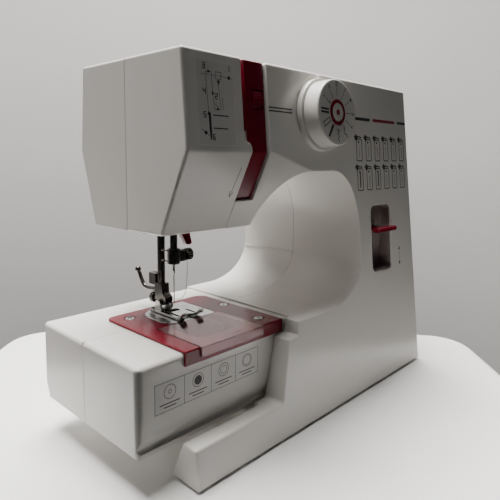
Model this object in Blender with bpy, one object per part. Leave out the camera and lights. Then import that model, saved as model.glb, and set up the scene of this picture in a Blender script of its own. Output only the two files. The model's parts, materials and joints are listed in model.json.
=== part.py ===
"""Compact free-arm sewing machine, modelled as its separate pieces.

Sizes are in millimetres and every mesh is scaled by MM when its object is made, so the scene is in metres.
Gauge frame: x runs from the needle end to the hand wheel, y from the front to the back, z up from the table.
The scene's origin is the bottom centre of the machine: CENTRE_X and CENTRE_Y are taken off every point.
"""
import math

import bmesh
import bpy
from mathutils import Matrix, Vector

MM = 0.001
GAP = 0.3                       # clearance between two pieces that touch on the real machine
WALL = 2.2                      # thickness of the moulded shells
TAU = 2.0 * math.pi

# --- driving dimensions ---------------------------------------------------------------------------------
TOP = 275.0                     # height of the machine
LEAN = 0.09                     # the front panel leans back by this much per unit of height
FLOOR_GAP = 2.0                 # the mouldings stand this far above the table, on rubber feet
PART_Y = 86.0                   # plane where the front and the rear shells meet
BACK_Y = 148.0                  # rear face
BACK_TOP_Y = 142.7              # rear face at the top
BODY_RIGHT_TOP = 283.0
BODY_RIGHT_BOTTOM = 295.5
SHOULDER_Z = 212.0              # below this height the head's front and rear draw in
HEAD_BOTTOM = 155.8
HEAD_SPLIT = 57.7               # right edge of the head cover
HEAD_STEP = 50.2                # right edge of the head cover beside the thread slot
STRIP_LEFT = 56.2
STRIP_RIGHT = 75.9
STRIP_BOTTOM = 177.3
STRIP_SINK = 3.0                # the red strip lies this far behind the panel
STRIP_THICKNESS = 1.6
STRIP_DEPTH = 60.0              # rear edge of the strip's flange beside the thread slot
CHIN_FRONT_Y = 46.4             # front of the head's underside
CHIN_REAR_Y = 130.0             # rear of the head's underside
NOSE_END_X = 84.3               # right end of the head's underside
THROAT_RIGHT = 192.3            # throat's right wall, at the front
THROAT_DRAFT = 8.5              # the right wall draws in by this much towards the rear
THROAT_TOP = 197.5
THROAT_FLOOR = 84.6
ARM_LEFT = -36.8
ARM_RIGHT = 104.0
ARM_FRONT = 22.1
ARM_BACK = 146.5
ARM_TOP = 83.4
ARM_BOTTOM = 25.6
BASE_LEFT = 54.0                # left end of the base under the free arm
BAR_LEFT = -8.0                 # left end of the foot bar
BAR_POCKET_LEFT = 14.0
BAR_TOP = 28.3
BAR_TOP_DEPTH = 16.0
BAR_BOTTOM_DEPTH = 27.8
WHEEL_RIGHT = 314.0             # outer face of the hand wheel
CENTRE_X = (ARM_LEFT + WHEEL_RIGHT) / 2.0
CENTRE_Y = (LEAN * FLOOR_GAP + BACK_Y) / 2.0

# --- needle, plate and hook; pairs are (x, y) unless they say otherwise -----------------------------------
NEEDLE = (43.5, 89.5)
NEEDLE_RADIUS = 0.55
NEEDLE_BAR_RADIUS = 2.9
NEEDLE_BAR_Z = (124.6, 246.0)
NEEDLE_Z = (91.6, 124.2)
CLAMP_Z = (125.0, 137.2)
CLAMP_RADIUS = 5.0
CLAMP_SCREW_Z = 131.0
PRESSER = (44.0, 106.5)
PRESSER_BAR_RADIUS = 3.1
PRESSER_BAR_Z = (103.0, 229.4)
ANKLE_SCREW_Z = 93.0
FOOT_PIN = (-2.6, 5.5)          # the foot's cross pin: y from the presser bar, z above the needle plate
FOOT_HALF_WIDTH = 11.0
TOE_HALF_GAP = 2.6
GUIDE_LOW_Z = 169.4             # lower guide of the needle bar
GUIDE_HIGH_Z = 222.0            # upper guide of both bars
GUIDE_THICKNESS = 6.0
PRESSER_BLOCK_Z = (176.0, 184.0)
PLATE_TOP = 85.4
PLATE_OUTLINE = (22.0, 68.0, 68.2, 110.0)       # x from, x to, y from, y to
RED_PLATE_OUTLINE = (-1.8, 94.4, 20.2, 116.0)
COVER_OUTLINE = (11.0, 71.0, 18.6, 67.6)
COVER_BOTTOM = 84.4
LIP_BOTTOM = 78.5
PLATE_SCREWS = ((11.7, 103.3), (88.0, 79.5), (82.6, 34.7))
SCREW_HEAD_RADIUS = 4.2
FEED_ROWS = (-7.4, 7.4)         # the feed dog's two rows, beside the needle
HOOK = (43.5, 62.0)
HOOK_RADIUS = 25.0
HOOK_Z = (56.0, 70.0)
CASE_RADIUS = 22.0
CASE_Z = (59.0, 79.0)
BOBBIN_RADIUS = 10.2
BOBBIN_Z = (61.6, 73.0)
TAB = (61.5, 99.0)              # the needle threader's finger tab
TAKEUP_PIVOT = (62.0, 232.0)    # y, z
LIFTER_PIVOT = (121.0, 166.0)   # y, z

# --- drive ----------------------------------------------------------------------------------------------
SHAFT_Y = 100.0
SHAFT_Z = 240.0
SHAFT_RADIUS = 4.0
SHAFT_X = (34.5, 302.0)
CRANK_RADIUS = 16.0
CRANK_THROW = 11.0
BUSH_RADIUS = 7.0
BUSH_X = (66.0, 246.0)
LOWER_Y = 90.0
LOWER_Z = 45.2
LOWER_SHAFT_RADIUS = 3.5
LOWER_GEAR_RADIUS = 11.0
MOTOR_Y = 50.0
MOTOR_Z = 48.0
MOTOR_RADIUS = 24.0
MOTOR_LEFT = 212.0
MOTOR_LENGTH = 46.0
MOTOR_SHAFT_RADIUS = 2.5
BELT_X = 271.0
BELT_WIDTH = 4.4
PULLEY_WIDTH = 8.0
MAIN_PULLEY_RADIUS = 22.0
MOTOR_PULLEY_RADIUS = 6.0
TIMING_X = 230.0
TIMING_RADIUS = 10.0
CHASSIS_FRONT = 116.0
CHASSIS_BACK = 120.0

# --- controls -------------------------------------------------------------------------------------------
DIAL_X = 136.2
DIAL_Z = 241.6
DIAL_RADIUS = 25.5
DIAL_HEIGHT = 18.0
DIAL_CAP_RADIUS = 9.6
TENSION = (68.3, 37.5, 247.5)
TENSION_RADIUS = 13.5
LEVER_PIVOT = (58.0, 143.0)     # y, z of the reverse lever's pivot
LEVER_ARM = (224.0, 232.0)      # x from, x to
SLOT = (211.0, 245.5, 104.5, 165.0)             # x from, x to, z from, z to
SLOT_RADIUS = 5.0
POCKET_BACK = 24.0              # the slot's pocket reaches back to this plane
SLIT = (222.5, 233.5, 118.0, 150.0)             # slit for the lever's arm in the pocket's back
SPOOL = (205.0, 112.0)
WINDER = (262.0, 108.0)
SWITCH_CUT = (100.0, 121.0, 66.0, 80.0)         # y from, y to, z from, z to
INLET_CUT = (98.0, 123.0, 34.0, 56.0)
WHEEL_LEFT = 292.0
WHEEL_RADIUS = 31.0
HUB_RADIUS = 11.0
HUB_HOLE_RADIUS = 17.0

for leftover in list(bpy.data.objects):
    bpy.data.objects.remove(leftover, do_unlink=True)


# --- materials ------------------------------------------------------------------------------------------
def material(name, colour, roughness, metallic=0.0, transmission=0.0):
    made = bpy.data.materials.new(name)
    made.use_nodes = True
    shader = made.node_tree.nodes["Principled BSDF"]
    shader.inputs["Base Color"].default_value = (*colour, 1.0)
    shader.inputs["Roughness"].default_value = roughness
    shader.inputs["Metallic"].default_value = metallic
    shader.inputs["Transmission Weight"].default_value = transmission
    made.diffuse_color = (*colour, 1.0)
    return made


WHITE = material("white_abs", (0.76, 0.75, 0.71), 0.28)
RED = material("red_abs", (0.33, 0.008, 0.022), 0.25)
CLEAR = material("clear_acrylic", (0.9, 0.9, 0.9), 0.06, transmission=0.9)
STEEL = material("bright_steel", (0.6, 0.6, 0.6), 0.22, 1.0)
DARK_STEEL = material("dark_steel", (0.16, 0.15, 0.15), 0.3, 1.0)
ALLOY = material("cast_alloy", (0.42, 0.42, 0.43), 0.5, 1.0)
BLACK = material("black_plastic", (0.02, 0.02, 0.02), 0.45)
RUBBER = material("black_rubber", (0.03, 0.03, 0.03), 0.85)
BRASS = material("sintered_bronze", (0.5, 0.33, 0.13), 0.4, 1.0)
THREAD = material("cotton_thread", (0.75, 0.75, 0.73), 0.9)


# --- modelling tools ------------------------------------------------------------------------------------
def ribbed(radius, depth, count):
    """Outline of a wheel whose rim has a number of ribs."""
    outline = []
    for i in range(count * 2):
        reach = radius - (0.0 if i % 2 else depth)
        angle = TAU * i / (count * 2)
        outline.append((reach * math.cos(angle), reach * math.sin(angle)))
    return outline


def arc(cx, cz, rx, rz, start, end, steps):
    """Points on an ellipse from one angle to another, in degrees, both ends included."""
    points = []
    for i in range(steps + 1):
        angle = math.radians(start + (end - start) * i / steps)
        points.append((cx + rx * math.cos(angle), cz + rz * math.sin(angle)))
    return points


def rounded(x0, x1, z0, z1, radius, steps=3):
    """Outline of a rectangle with round corners."""
    radii = radius if isinstance(radius, tuple) else (radius,) * 4
    corners = ((x1, z0, -1, 1, -90), (x1, z1, -1, -1, 0), (x0, z1, 1, -1, 90), (x0, z0, 1, 1, 180))
    points = []
    for (x, z, sx, sz, start), r in zip(corners, radii):
        points += arc(x + sx * r, z + sz * r, r, r, start, start + 90, steps)
    return points


def inset(points, distance):
    """The outline moved inwards by a distance, corner by corner."""
    area = sum(a[0] * b[1] - b[0] * a[1] for a, b in zip(points, points[1:] + points[:1]))
    side = 1.0 if area > 0 else -1.0
    moved = []
    for i, point in enumerate(points):
        before = Vector(point) - Vector(points[i - 1])
        after = Vector(points[(i + 1) % len(points)]) - Vector(point)
        n1 = Vector((-before.y, before.x)).normalized() * side
        n2 = Vector((-after.y, after.x)).normalized() * side
        middle = n1 + n2
        moved.append(tuple(Vector(point) + middle * (distance * 2.0 / middle.length_squared)))
    return moved


def prism(outline, axis, low, high, outline_high=None):
    """A solid between two copies of an outline. Axis is x, y or z; the outline holds the other two."""
    place = {"x": lambda p, h: (h, p[0], p[1]), "y": lambda p, h: (p[0], h, p[1]),
             "z": lambda p, h: (p[0], p[1], h)}[axis]
    bm = bmesh.new()
    first = [bm.verts.new(place(p, low)) for p in outline]
    second = [bm.verts.new(place(p, high)) for p in (outline_high or outline)]
    bm.faces.new(first)
    bm.faces.new(second)
    count = len(outline)
    for i in range(count):
        j = (i + 1) % count
        bm.faces.new((first[i], first[j], second[j], second[i]))
    bmesh.ops.recalc_face_normals(bm, faces=bm.faces)
    return bm


def box(x0, x1, y0, y1, z0, z1):
    return prism([(x0, y0), (x1, y0), (x1, y1), (x0, y1)], "z", z0, z1)


def hull(points):
    bm = bmesh.new()
    for point in points:
        bm.verts.new(point)
    bmesh.ops.convex_hull(bm, input=bm.verts)
    bmesh.ops.recalc_face_normals(bm, faces=bm.faces)
    return bm


def turned(profile, steps=24, ring=False):
    """A solid turned about Z. Profile points are (radius, height); a ring's profile closes on itself."""
    bm = bmesh.new()
    rows = []
    for radius, height in profile:
        if radius < 1e-6:
            rows.append([bm.verts.new((0.0, 0.0, height))])
            continue
        rows.append([bm.verts.new((radius * math.cos(TAU * i / steps), radius * math.sin(TAU * i / steps),
                                   height)) for i in range(steps)])
    pairs = list(zip(rows, rows[1:]))
    if ring:
        pairs.append((rows[-1], rows[0]))
    for lower, upper in pairs:
        for i in range(steps):
            j = (i + 1) % steps
            corners = [lower[i % len(lower)], lower[j % len(lower)]]
            corners += [upper[j % len(upper)], upper[i % len(upper)]]
            unique = list(dict.fromkeys(corners))
            if len(unique) > 2:
                bm.faces.new(unique)
    if not ring:
        for row in (rows[0], rows[-1]):
            if len(row) > 1:
                bm.faces.new(row)
    bmesh.ops.recalc_face_normals(bm, faces=bm.faces)
    return bm


def rod(start, end, radius, steps=16):
    """A plain cylinder between two points."""
    length = (Vector(end) - Vector(start)).length
    return aimed(turned([(radius, 0.0), (radius, length)], steps), start, Vector(end) - Vector(start))


def swept(path, radius, sides=8):
    """A round tube along a list of points."""
    points = [Vector(point) for point in path]
    bm = bmesh.new()
    rings = []
    side = None
    for i, point in enumerate(points):
        along = (points[min(i + 1, len(points) - 1)] - points[max(i - 1, 0)]).normalized()
        start = side if side is not None else along.orthogonal()
        side = (start - along * start.dot(along)).normalized()
        other = along.cross(side)
        rings.append([bm.verts.new(point + side * (radius * math.cos(TAU * k / sides))
                                   + other * (radius * math.sin(TAU * k / sides))) for k in range(sides)])
    for first, second in zip(rings, rings[1:]):
        for k in range(sides):
            m = (k + 1) % sides
            bm.faces.new((first[k], first[m], second[m], second[k]))
    bm.faces.new(rings[0])
    bm.faces.new(rings[-1])
    bmesh.ops.recalc_face_normals(bm, faces=bm.faces)
    return bm


def aimed(bm, location, direction):
    """Turns a solid made along Z to point along a direction, and moves it."""
    turn = Vector(direction).to_track_quat("Z", "Y").to_matrix().to_4x4()
    bmesh.ops.transform(bm, matrix=Matrix.Translation(location) @ turn, verts=bm.verts)
    return bm


def moved(bm, x=0.0, y=0.0, z=0.0):
    bmesh.ops.translate(bm, vec=(x, y, z), verts=bm.verts)
    return bm


def sliced(bm, point, normal):
    """Keeps the part of a solid behind a plane, and closes the cut."""
    geometry = bm.verts[:] + bm.edges[:] + bm.faces[:]
    result = bmesh.ops.bisect_plane(bm, geom=geometry, plane_co=point, plane_no=normal, clear_outer=True,
                                    dist=1e-5)
    edges = [item for item in result["geom_cut"] if isinstance(item, bmesh.types.BMEdge)]
    bmesh.ops.contextual_create(bm, geom=edges)
    bmesh.ops.recalc_face_normals(bm, faces=bm.faces)
    return bm


def scratch_object(bm):
    mesh = bpy.data.meshes.new("scratch")
    bm.to_mesh(mesh)
    bm.free()
    made = bpy.data.objects.new("scratch", mesh)
    bpy.context.scene.collection.objects.link(made)
    return made


def combined(bm, *steps):
    """Runs a list of (operation, solid) pairs on a solid with exact booleans."""
    target = scratch_object(bm)
    tools = []
    for operation, solid in steps:
        tool = scratch_object(solid)
        modifier = target.modifiers.new(operation, "BOOLEAN")
        modifier.operation = operation
        modifier.solver = "EXACT"
        modifier.object = tool
        tools.append(tool)
    bpy.context.view_layer.update()
    result = bmesh.new()
    result.from_object(target, bpy.context.evaluated_depsgraph_get())
    for item in [target] + tools:
        bpy.data.objects.remove(item, do_unlink=True)
    return result


def cut(bm, *solids):
    return combined(bm, *[("DIFFERENCE", solid) for solid in solids])


def fused(bm, *solids):
    return combined(bm, *[("UNION", solid) for solid in solids])


def piece(name, bm, finish, pivot=None):
    """Makes the named object, in metres, with its origin on its pivot or at its middle."""
    bmesh.ops.remove_doubles(bm, verts=bm.verts, dist=0.002)
    bmesh.ops.dissolve_degenerate(bm, dist=0.001, edges=bm.edges)
    bmesh.ops.dissolve_limit(bm, angle_limit=0.002, verts=bm.verts, edges=bm.edges)
    if pivot is None:
        xs, ys, zs = zip(*(vertex.co for vertex in bm.verts))
        pivot = tuple((min(values) + max(values)) / 2.0 for values in (xs, ys, zs))
    bmesh.ops.translate(bm, vec=-Vector(pivot), verts=bm.verts)
    bmesh.ops.scale(bm, vec=(MM, MM, MM), verts=bm.verts)
    bmesh.ops.recalc_face_normals(bm, faces=bm.faces)
    mesh = bpy.data.meshes.new(name)
    bm.to_mesh(mesh)
    bm.free()
    mesh.materials.append(finish)
    mesh.shade_smooth()
    mesh.set_sharp_from_angle(angle=math.radians(32.0))
    made = bpy.data.objects.new(name, mesh)
    made.location = ((pivot[0] - CENTRE_X) * MM, (pivot[1] - CENTRE_Y) * MM, pivot[2] * MM)
    bpy.context.scene.collection.objects.link(made)
    return made


# --- shells ---------------------------------------------------------------------------------------------
def throat_edge(right):
    """Edge of the throat from the head's underside round to the arm, as (x, z) points."""
    edge = arc(125.0, 150.0, 40.9, THROAT_TOP - 150.0, 173.0, 90.0, 8)
    edge += arc(right - 37.0, 146.0, 37.0, THROAT_TOP - 146.0, 90.0, 0.0, 8)
    edge += arc(right - 50.0, 121.0, 50.0, 121.0 - THROAT_FLOOR, 0.0, -90.0, 8)
    return edge


def body_outline(right, left_edge):
    """Front view of the body: base, pillar and upper arm, down to the left edge that is given."""
    outline = [(BASE_LEFT, FLOOR_GAP), (BODY_RIGHT_BOTTOM, FLOOR_GAP), (BODY_RIGHT_TOP, TOP)]
    outline += left_edge
    outline += throat_edge(right)
    outline += [(ARM_RIGHT + GAP, THROAT_FLOOR), (ARM_RIGHT + GAP, ARM_BOTTOM - GAP)]
    outline += [(BASE_LEFT, ARM_BOTTOM - GAP)]
    return outline


def open_below(points, depth=8.0):
    """Lowers the bottom edge of a hollow so that the shell is open underneath."""
    low = min(point[1] for point in points)
    return [(x, z - depth) if z < low + 0.1 else (x, z) for x, z in points]


def nose_cutter(front, shift=0.0):
    """Takes off the front of the head below the shoulder, running out to nothing along the throat."""
    shoulder_y = LEAN * SHOULDER_Z
    slope_end = HEAD_BOTTOM - 3.0
    chin = CHIN_FRONT_Y + 3.0 * (CHIN_FRONT_Y - shoulder_y) / (SHOULDER_Z - HEAD_BOTTOM)
    corners = [(40.0, shoulder_y, SHOULDER_Z), (80.0, shoulder_y, SHOULDER_Z), (40.0, chin, slope_end),
               (NOSE_END_X, chin, slope_end), (128.0, LEAN * 196.8, 196.8)]
    far = [(x, front, z) for x, y, z in corners]
    return moved(hull(corners + far), y=shift)


def tail_cutter(shift=0.0):
    """Takes off the rear of the head below the shoulder in the same way."""
    slope_end = HEAD_BOTTOM - 3.0
    chin = CHIN_REAR_Y - 3.0 * (BACK_Y - CHIN_REAR_Y) / (SHOULDER_Z - HEAD_BOTTOM)
    corners = [(-6.0, BACK_Y, SHOULDER_Z), (80.0, BACK_Y, SHOULDER_Z), (-6.0, chin, slope_end),
               (NOSE_END_X, chin, slope_end), (128.0, BACK_Y, 196.8)]
    far = [(x, BACK_Y + 20.0, z) for x, y, z in corners]
    return moved(hull(corners + far), y=shift)


def front_plane(bm, back=0.0):
    """Cuts a solid to the leaning front plane, moved back by a distance."""
    return sliced(bm, (0.0, back, 0.0), (0.0, -1.0, LEAN))


def foot_bar():
    """The bar in front of the free arm, with a pocket open underneath."""
    section = [(-10.0, FLOOR_GAP), (-10.0, BAR_TOP), (BAR_TOP_DEPTH, BAR_TOP), (BAR_BOTTOM_DEPTH, FLOOR_GAP)]
    pocket = [(WALL, -6.0), (LEAN * BAR_TOP + WALL, BAR_TOP - WALL), (BAR_TOP_DEPTH - 1.6, BAR_TOP - WALL),
              (BAR_BOTTOM_DEPTH + 1.0, -6.0)]
    bar = prism(section, "x", BAR_LEFT, BASE_LEFT + 26.0)
    return cut(bar, prism(pocket, "x", BAR_POCKET_LEFT, BASE_LEFT - 2.0))


def lever_pocket():
    """Shallow tray behind the slot, with a slit for the lever's arm, as its solid and its inside."""
    x0, x1, z0, z1 = SLOT
    tray = prism(rounded(x0 - WALL, x1 + WALL, z0 - WALL, z1 + WALL, SLOT_RADIUS + WALL), "y", -20.0,
                 POCKET_BACK + WALL)
    inside = prism(rounded(*SLOT, SLOT_RADIUS), "y", -30.0, POCKET_BACK)
    slit = box(SLIT[0], SLIT[1], POCKET_BACK - 4.0, POCKET_BACK + WALL + 4.0, SLIT[2], SLIT[3])
    return front_plane(tray, 1.0), (inside, slit)


def wheel_hole():
    """Hole in the right wall for the hand wheel's hub."""
    return rod((BODY_RIGHT_TOP - 10.0, SHAFT_Y, SHAFT_Z), (BODY_RIGHT_BOTTOM + 9.0, SHAFT_Y, SHAFT_Z),
               HUB_HOLE_RADIUS, 24)


def front_housing():
    """Front half of the pillar and upper arm, with the flat panel, the slot and the foot bar."""
    left_edge = [(STRIP_RIGHT + GAP, TOP), (STRIP_RIGHT + GAP, STRIP_BOTTOM - GAP),
                 (HEAD_SPLIT + GAP, STRIP_BOTTOM - GAP), (HEAD_SPLIT + GAP, HEAD_BOTTOM)]
    near = body_outline(THROAT_RIGHT, left_edge)
    far = body_outline(THROAT_RIGHT - THROAT_DRAFT / 2.0, left_edge)
    block = front_plane(prism(near, "y", -20.0, PART_Y, far))
    skirt = [(BASE_LEFT + 10.0, FLOOR_GAP), (ARM_RIGHT + 6.0, FLOOR_GAP), (ARM_RIGHT + 6.0, THROAT_FLOOR),
             (98.4, THROAT_FLOOR), (97.2, 74.2), (86.5, 73.2), (76.4, BAR_TOP), (BASE_LEFT + 10.0, BAR_TOP)]
    apron = prism(skirt, "y", -20.0, ARM_FRONT - GAP)
    block = fused(block, front_plane(apron), front_plane(foot_bar()))
    block = cut(block, nose_cutter(-40.0))
    hollow = prism(open_below(inset(near, WALL)), "y", -20.0, PART_Y + 6.0, open_below(inset(far, WALL)))
    hollow = cut(front_plane(hollow, WALL), nose_cutter(-40.0, 2.7))
    tray, tray_cuts = lever_pocket()
    dial_hole = aimed(turned([(5.0, -30.0), (5.0, 30.0)], 20), (DIAL_X, LEAN * DIAL_Z, DIAL_Z), (0, -1, LEAN))
    arm_window = box(ARM_RIGHT - 4.0, ARM_RIGHT + 6.0, 30.0, PART_Y + 6.0, 32.0, 78.0)
    block = fused(cut(block, hollow, arm_window, wheel_hole()), tray)
    piece("front_housing", cut(block, dial_hole, *tray_cuts), WHITE)


def rear_housing():
    """Rear half of the whole body, and the rear half of the head."""
    left_edge = [(0.0, TOP), (0.0, HEAD_BOTTOM)]
    near = body_outline(THROAT_RIGHT - THROAT_DRAFT / 2.0, left_edge)
    far = body_outline(THROAT_RIGHT - THROAT_DRAFT, left_edge)
    start = PART_Y + GAP
    back_normal = (0.0, TOP - SHOULDER_Z, BACK_Y - BACK_TOP_Y)
    block = sliced(prism(near, "y", start, BACK_Y, far), (0.0, BACK_Y, SHOULDER_Z), back_normal)
    hollow = prism(open_below(inset(near, WALL)), "y", start - 6.0, BACK_Y - WALL,
                   open_below(inset(far, WALL)))
    hollow = sliced(hollow, (0.0, BACK_Y - WALL, SHOULDER_Z), back_normal)
    hollow = cut(hollow, tail_cutter(-2.7))
    arm_window = box(ARM_RIGHT - 4.0, ARM_RIGHT + 6.0, start - 6.0, 136.0, 32.0, 78.0)
    bar_window = prism(rounded(20.0, 70.0, start - 6.0, 124.0, 3.0), "z", HEAD_BOTTOM - 8.0,
                       HEAD_BOTTOM + 8.0)
    spool_hole = rod((*SPOOL, TOP - 8.0), (*SPOOL, TOP + 8.0), 4.2)
    winder_outline = rounded(WINDER[0] - 4.0, WINDER[0] + 10.0, WINDER[1] - 3.6, WINDER[1] + 3.6, 3.5)
    winder_slot = prism(winder_outline, "z", TOP - 8.0, TOP + 8.0)
    block = cut(block, tail_cutter(), hollow, arm_window, bar_window, wheel_hole(), spool_hole, winder_slot,
                lifter_notch(), *side_openings())
    stop_profile = [(5.0, TOP - 1.0), (5.0, TOP + 4.4), (4.2, TOP + 5.0), (0.0, TOP + 5.0), (0.0, TOP - 1.0)]
    stop = moved(turned(stop_profile, 20), WINDER[0] + 6.0, WINDER[1] - 14.0)
    piece("rear_housing", fused(block, stop), WHITE)


def lifter_notch():
    """Opening in the head's rear slope that the presser foot lifter moves in."""
    return box(36.0, 52.0, 116.0, BACK_Y + 4.0, HEAD_BOTTOM - 4.0, HEAD_BOTTOM + 20.0)


def side_openings():
    """Openings in the right wall for the switch and the inlet, square to the leaning wall."""
    openings = []
    for y0, y1, z0, z1 in (SWITCH_CUT, INLET_CUT):
        openings.append(box(BODY_RIGHT_TOP - 10.0, BODY_RIGHT_BOTTOM + 6.0, y0, y1, z0, z1))
    return openings


def head_cover():
    """Front half of the head: left end, front, top and underside, open to the rear and the right."""
    section = [(LEAN * TOP, TOP), (LEAN * SHOULDER_Z, SHOULDER_Z), (CHIN_FRONT_Y, HEAD_BOTTOM),
               (PART_Y, HEAD_BOTTOM), (PART_Y, TOP)]
    hollow = inset(section, WALL)
    hollow = [(y + (8.0 if y > PART_Y - WALL - 0.1 else 0.0), z) for y, z in hollow]
    block = prism(section, "x", 0.0, HEAD_SPLIT)
    step = [(HEAD_STEP, 226.0), (HEAD_STEP + 2.0, 220.0), (HEAD_SPLIT - 1.0, 214.0),
            (HEAD_SPLIT + 4.0, 211.0), (HEAD_SPLIT + 4.0, TOP + 4.0), (HEAD_STEP, TOP + 4.0)]
    step_cut = prism(step, "y", -20.0, PART_Y + 4.0)
    bars = prism(rounded(20.0, HEAD_SPLIT + 12.0, 72.0, PART_Y + 10.0, 3.0), "z", HEAD_BOTTOM - 8.0,
                 HEAD_BOTTOM + 8.0)
    piece("head_cover", cut(block, prism(hollow, "x", WALL, HEAD_SPLIT + 6.0), step_cut, bars), WHITE)


def arm_section(front, meeting):
    """Outline of one half of the free arm across its length: front or rear half, up to the parting plane."""
    if front:
        cove = [(ARM_FRONT, 36.0), (ARM_FRONT + 2.6, 33.0), (ARM_FRONT + 2.6, 30.0), (ARM_FRONT + 0.6, 28.6)]
        return [(ARM_FRONT, ARM_TOP)] + cove + [(ARM_FRONT + 0.6, ARM_BOTTOM), (meeting, ARM_BOTTOM),
                                                (meeting, ARM_TOP)]
    return [(meeting, ARM_BOTTOM), (142.5, ARM_BOTTOM), (BACK_Y - 0.4, 36.0), (ARM_BACK, ARM_TOP),
            (meeting, ARM_TOP)]


def arm_hollow(front, meeting):
    """Inside of the same half, running on past the parting plane."""
    low, high = ARM_BOTTOM + WALL, ARM_TOP - WALL
    if front:
        return [(ARM_FRONT + WALL, high), (ARM_FRONT + WALL, 38.0), (ARM_FRONT + 2.6 + WALL, 34.0),
                (ARM_FRONT + 2.6 + WALL, low), (meeting + 8.0, low), (meeting + 8.0, high)]
    return [(meeting - 8.0, low), (141.0, low), (BACK_Y - 0.5 - WALL, 37.0), (ARM_BACK - WALL, high),
            (meeting - 8.0, high)]


def arm_half(name, front, meeting):
    """One half of the free arm's shell, open at the parting plane and at the right end."""
    outside = prism(arm_section(front, meeting), "x", ARM_LEFT, ARM_RIGHT)
    inside = prism(arm_hollow(front, meeting), "x", ARM_LEFT + WALL, ARM_RIGHT + 6.0)
    plate_hole = prism(rounded(15.0, 75.0, ARM_FRONT + 6.0, 111.0, 4.0), "z", ARM_TOP - 6.0, ARM_TOP + 6.0)
    screw_holes = [rod((x, y, ARM_TOP - 6.0), (x, y, ARM_TOP + 6.0), SCREW_HEAD_RADIUS + GAP, 20)
                   for x, y in PLATE_SCREWS]
    piece(name, cut(outside, inside, plate_hole, *screw_holes), WHITE)


def base_plate():
    """Flat steel plate that closes the body underneath."""
    outline = [(BASE_LEFT + WALL + GAP, WALL + 1.2), (BODY_RIGHT_BOTTOM - WALL - 1.0, WALL + 1.2),
               (BODY_RIGHT_BOTTOM - WALL - 1.0, BACK_Y - WALL - GAP),
               (BASE_LEFT + WALL + GAP, BACK_Y - WALL - GAP)]
    notch = box(BASE_LEFT - 2.0, BASE_LEFT + 12.6, -2.0, ARM_FRONT + 7.0, 0.0, 6.0)
    piece("base_plate", cut(prism(outline, "z", FLOOR_GAP, FLOOR_GAP + 1.6), notch), ALLOY)


def rubber_foot(name, x, y):
    profile = [(0.0, 0.0), (6.4, 0.0), (7.0, 0.5), (7.0, FLOOR_GAP - GAP), (0.0, FLOOR_GAP - GAP)]
    piece(name, moved(turned(profile, 20), x, y), RUBBER)


# --- threading parts on the head ------------------------------------------------------------------------
def thread_strip():
    """Red strip beside the head cover, with a window for the tension dial and a top lip."""
    sink = STRIP_SINK
    shoulder = LEAN * SHOULDER_Z + sink
    slope = (CHIN_FRONT_Y - LEAN * SHOULDER_Z) / (SHOULDER_Z - HEAD_BOTTOM)
    low_y = shoulder + slope * (SHOULDER_Z - STRIP_BOTTOM)
    front = [(LEAN * TOP + sink, TOP - 0.6), (shoulder, SHOULDER_Z), (low_y, STRIP_BOTTOM)]
    section = front + [(low_y + 2.6, STRIP_BOTTOM), (shoulder + 2.4, SHOULDER_Z - 0.6),
                       (LEAN * TOP + sink + STRIP_THICKNESS, TOP - 2.8), (PART_Y, TOP - 2.8),
                       (PART_Y, TOP - 0.6)]
    sheet = prism(section, "x", STRIP_LEFT, STRIP_RIGHT)
    flange_section = front + [(STRIP_DEPTH, STRIP_BOTTOM), (STRIP_DEPTH, TOP - 0.6)]
    flange = prism(flange_section, "x", STRIP_LEFT, STRIP_LEFT + STRIP_THICKNESS)
    x, y, z = TENSION
    window = box(x - 5.4, x + 5.4, 0.0, y, z - 14.6, z + 14.6)
    over_cover = box(STRIP_LEFT - 1.0, HEAD_SPLIT + GAP, -10.0, PART_Y + 2.0, STRIP_BOTTOM - 4.0, 226.5)
    piece("thread_strip", cut(fused(sheet, flange), window, over_cover), RED)


def tension_dial():
    """Thumb wheel with a ribbed rim, on an axis across the machine."""
    bore = rod((-9.0, 0.0, 0.0), (9.0, 0.0, 0.0), 2.4, 12)
    wheel = cut(prism(ribbed(TENSION_RADIUS, 0.7, 24), "x", -4.6, 4.6), bore)
    piece("tension_dial", moved(wheel, *TENSION), RED, TENSION)


def take_up_lever():
    """Flat lever with an eye, moving up and down in the thread slot."""
    y, z = TAKEUP_PIVOT
    spine = [(y + 5.0, z - 4.0), (y + 5.0, z + 4.0), (y - 2.0, z + 8.0), (y - 22.0, z + 26.5),
             (y - 29.0, z + 30.5), (y - 33.5, z + 29.5), (y - 34.0, z + 25.5), (y - 31.0, z + 22.5),
             (y - 24.0, z + 20.0), (y - 8.0, z - 4.0)]
    middle = HEAD_STEP + 3.1
    plate = prism(spine, "x", middle - 1.0, middle + 1.0)
    eye = rod((middle - 4.0, y - 30.5, z + 26.5), (middle + 4.0, y - 30.5, z + 26.5), 1.6, 12)
    pin = rod((middle - 15.3, y, z), (middle + 2.3, y, z), 2.2, 14)
    piece("take_up_lever", fused(cut(plate, eye), pin), STEEL, (middle, y, z))


# --- needle and presser bars ----------------------------------------------------------------------------
def needle_bar():
    """Round bar with the block that the crank's link drives."""
    x, y = NEEDLE
    low, high = NEEDLE_BAR_Z
    profile = [(0.0, low), (1.9, low), (1.9, low + 2.4), (NEEDLE_BAR_RADIUS, low + 2.9),
               (NEEDLE_BAR_RADIUS, high - 1.0), (2.2, high), (0.0, high)]
    stud = box(x - 5.4, x + 5.0, y - 5.0, y + 5.0, 196.0, 206.0)
    piece("needle_bar", fused(moved(turned(profile, 20), x, y), stud), DARK_STEEL)


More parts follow.
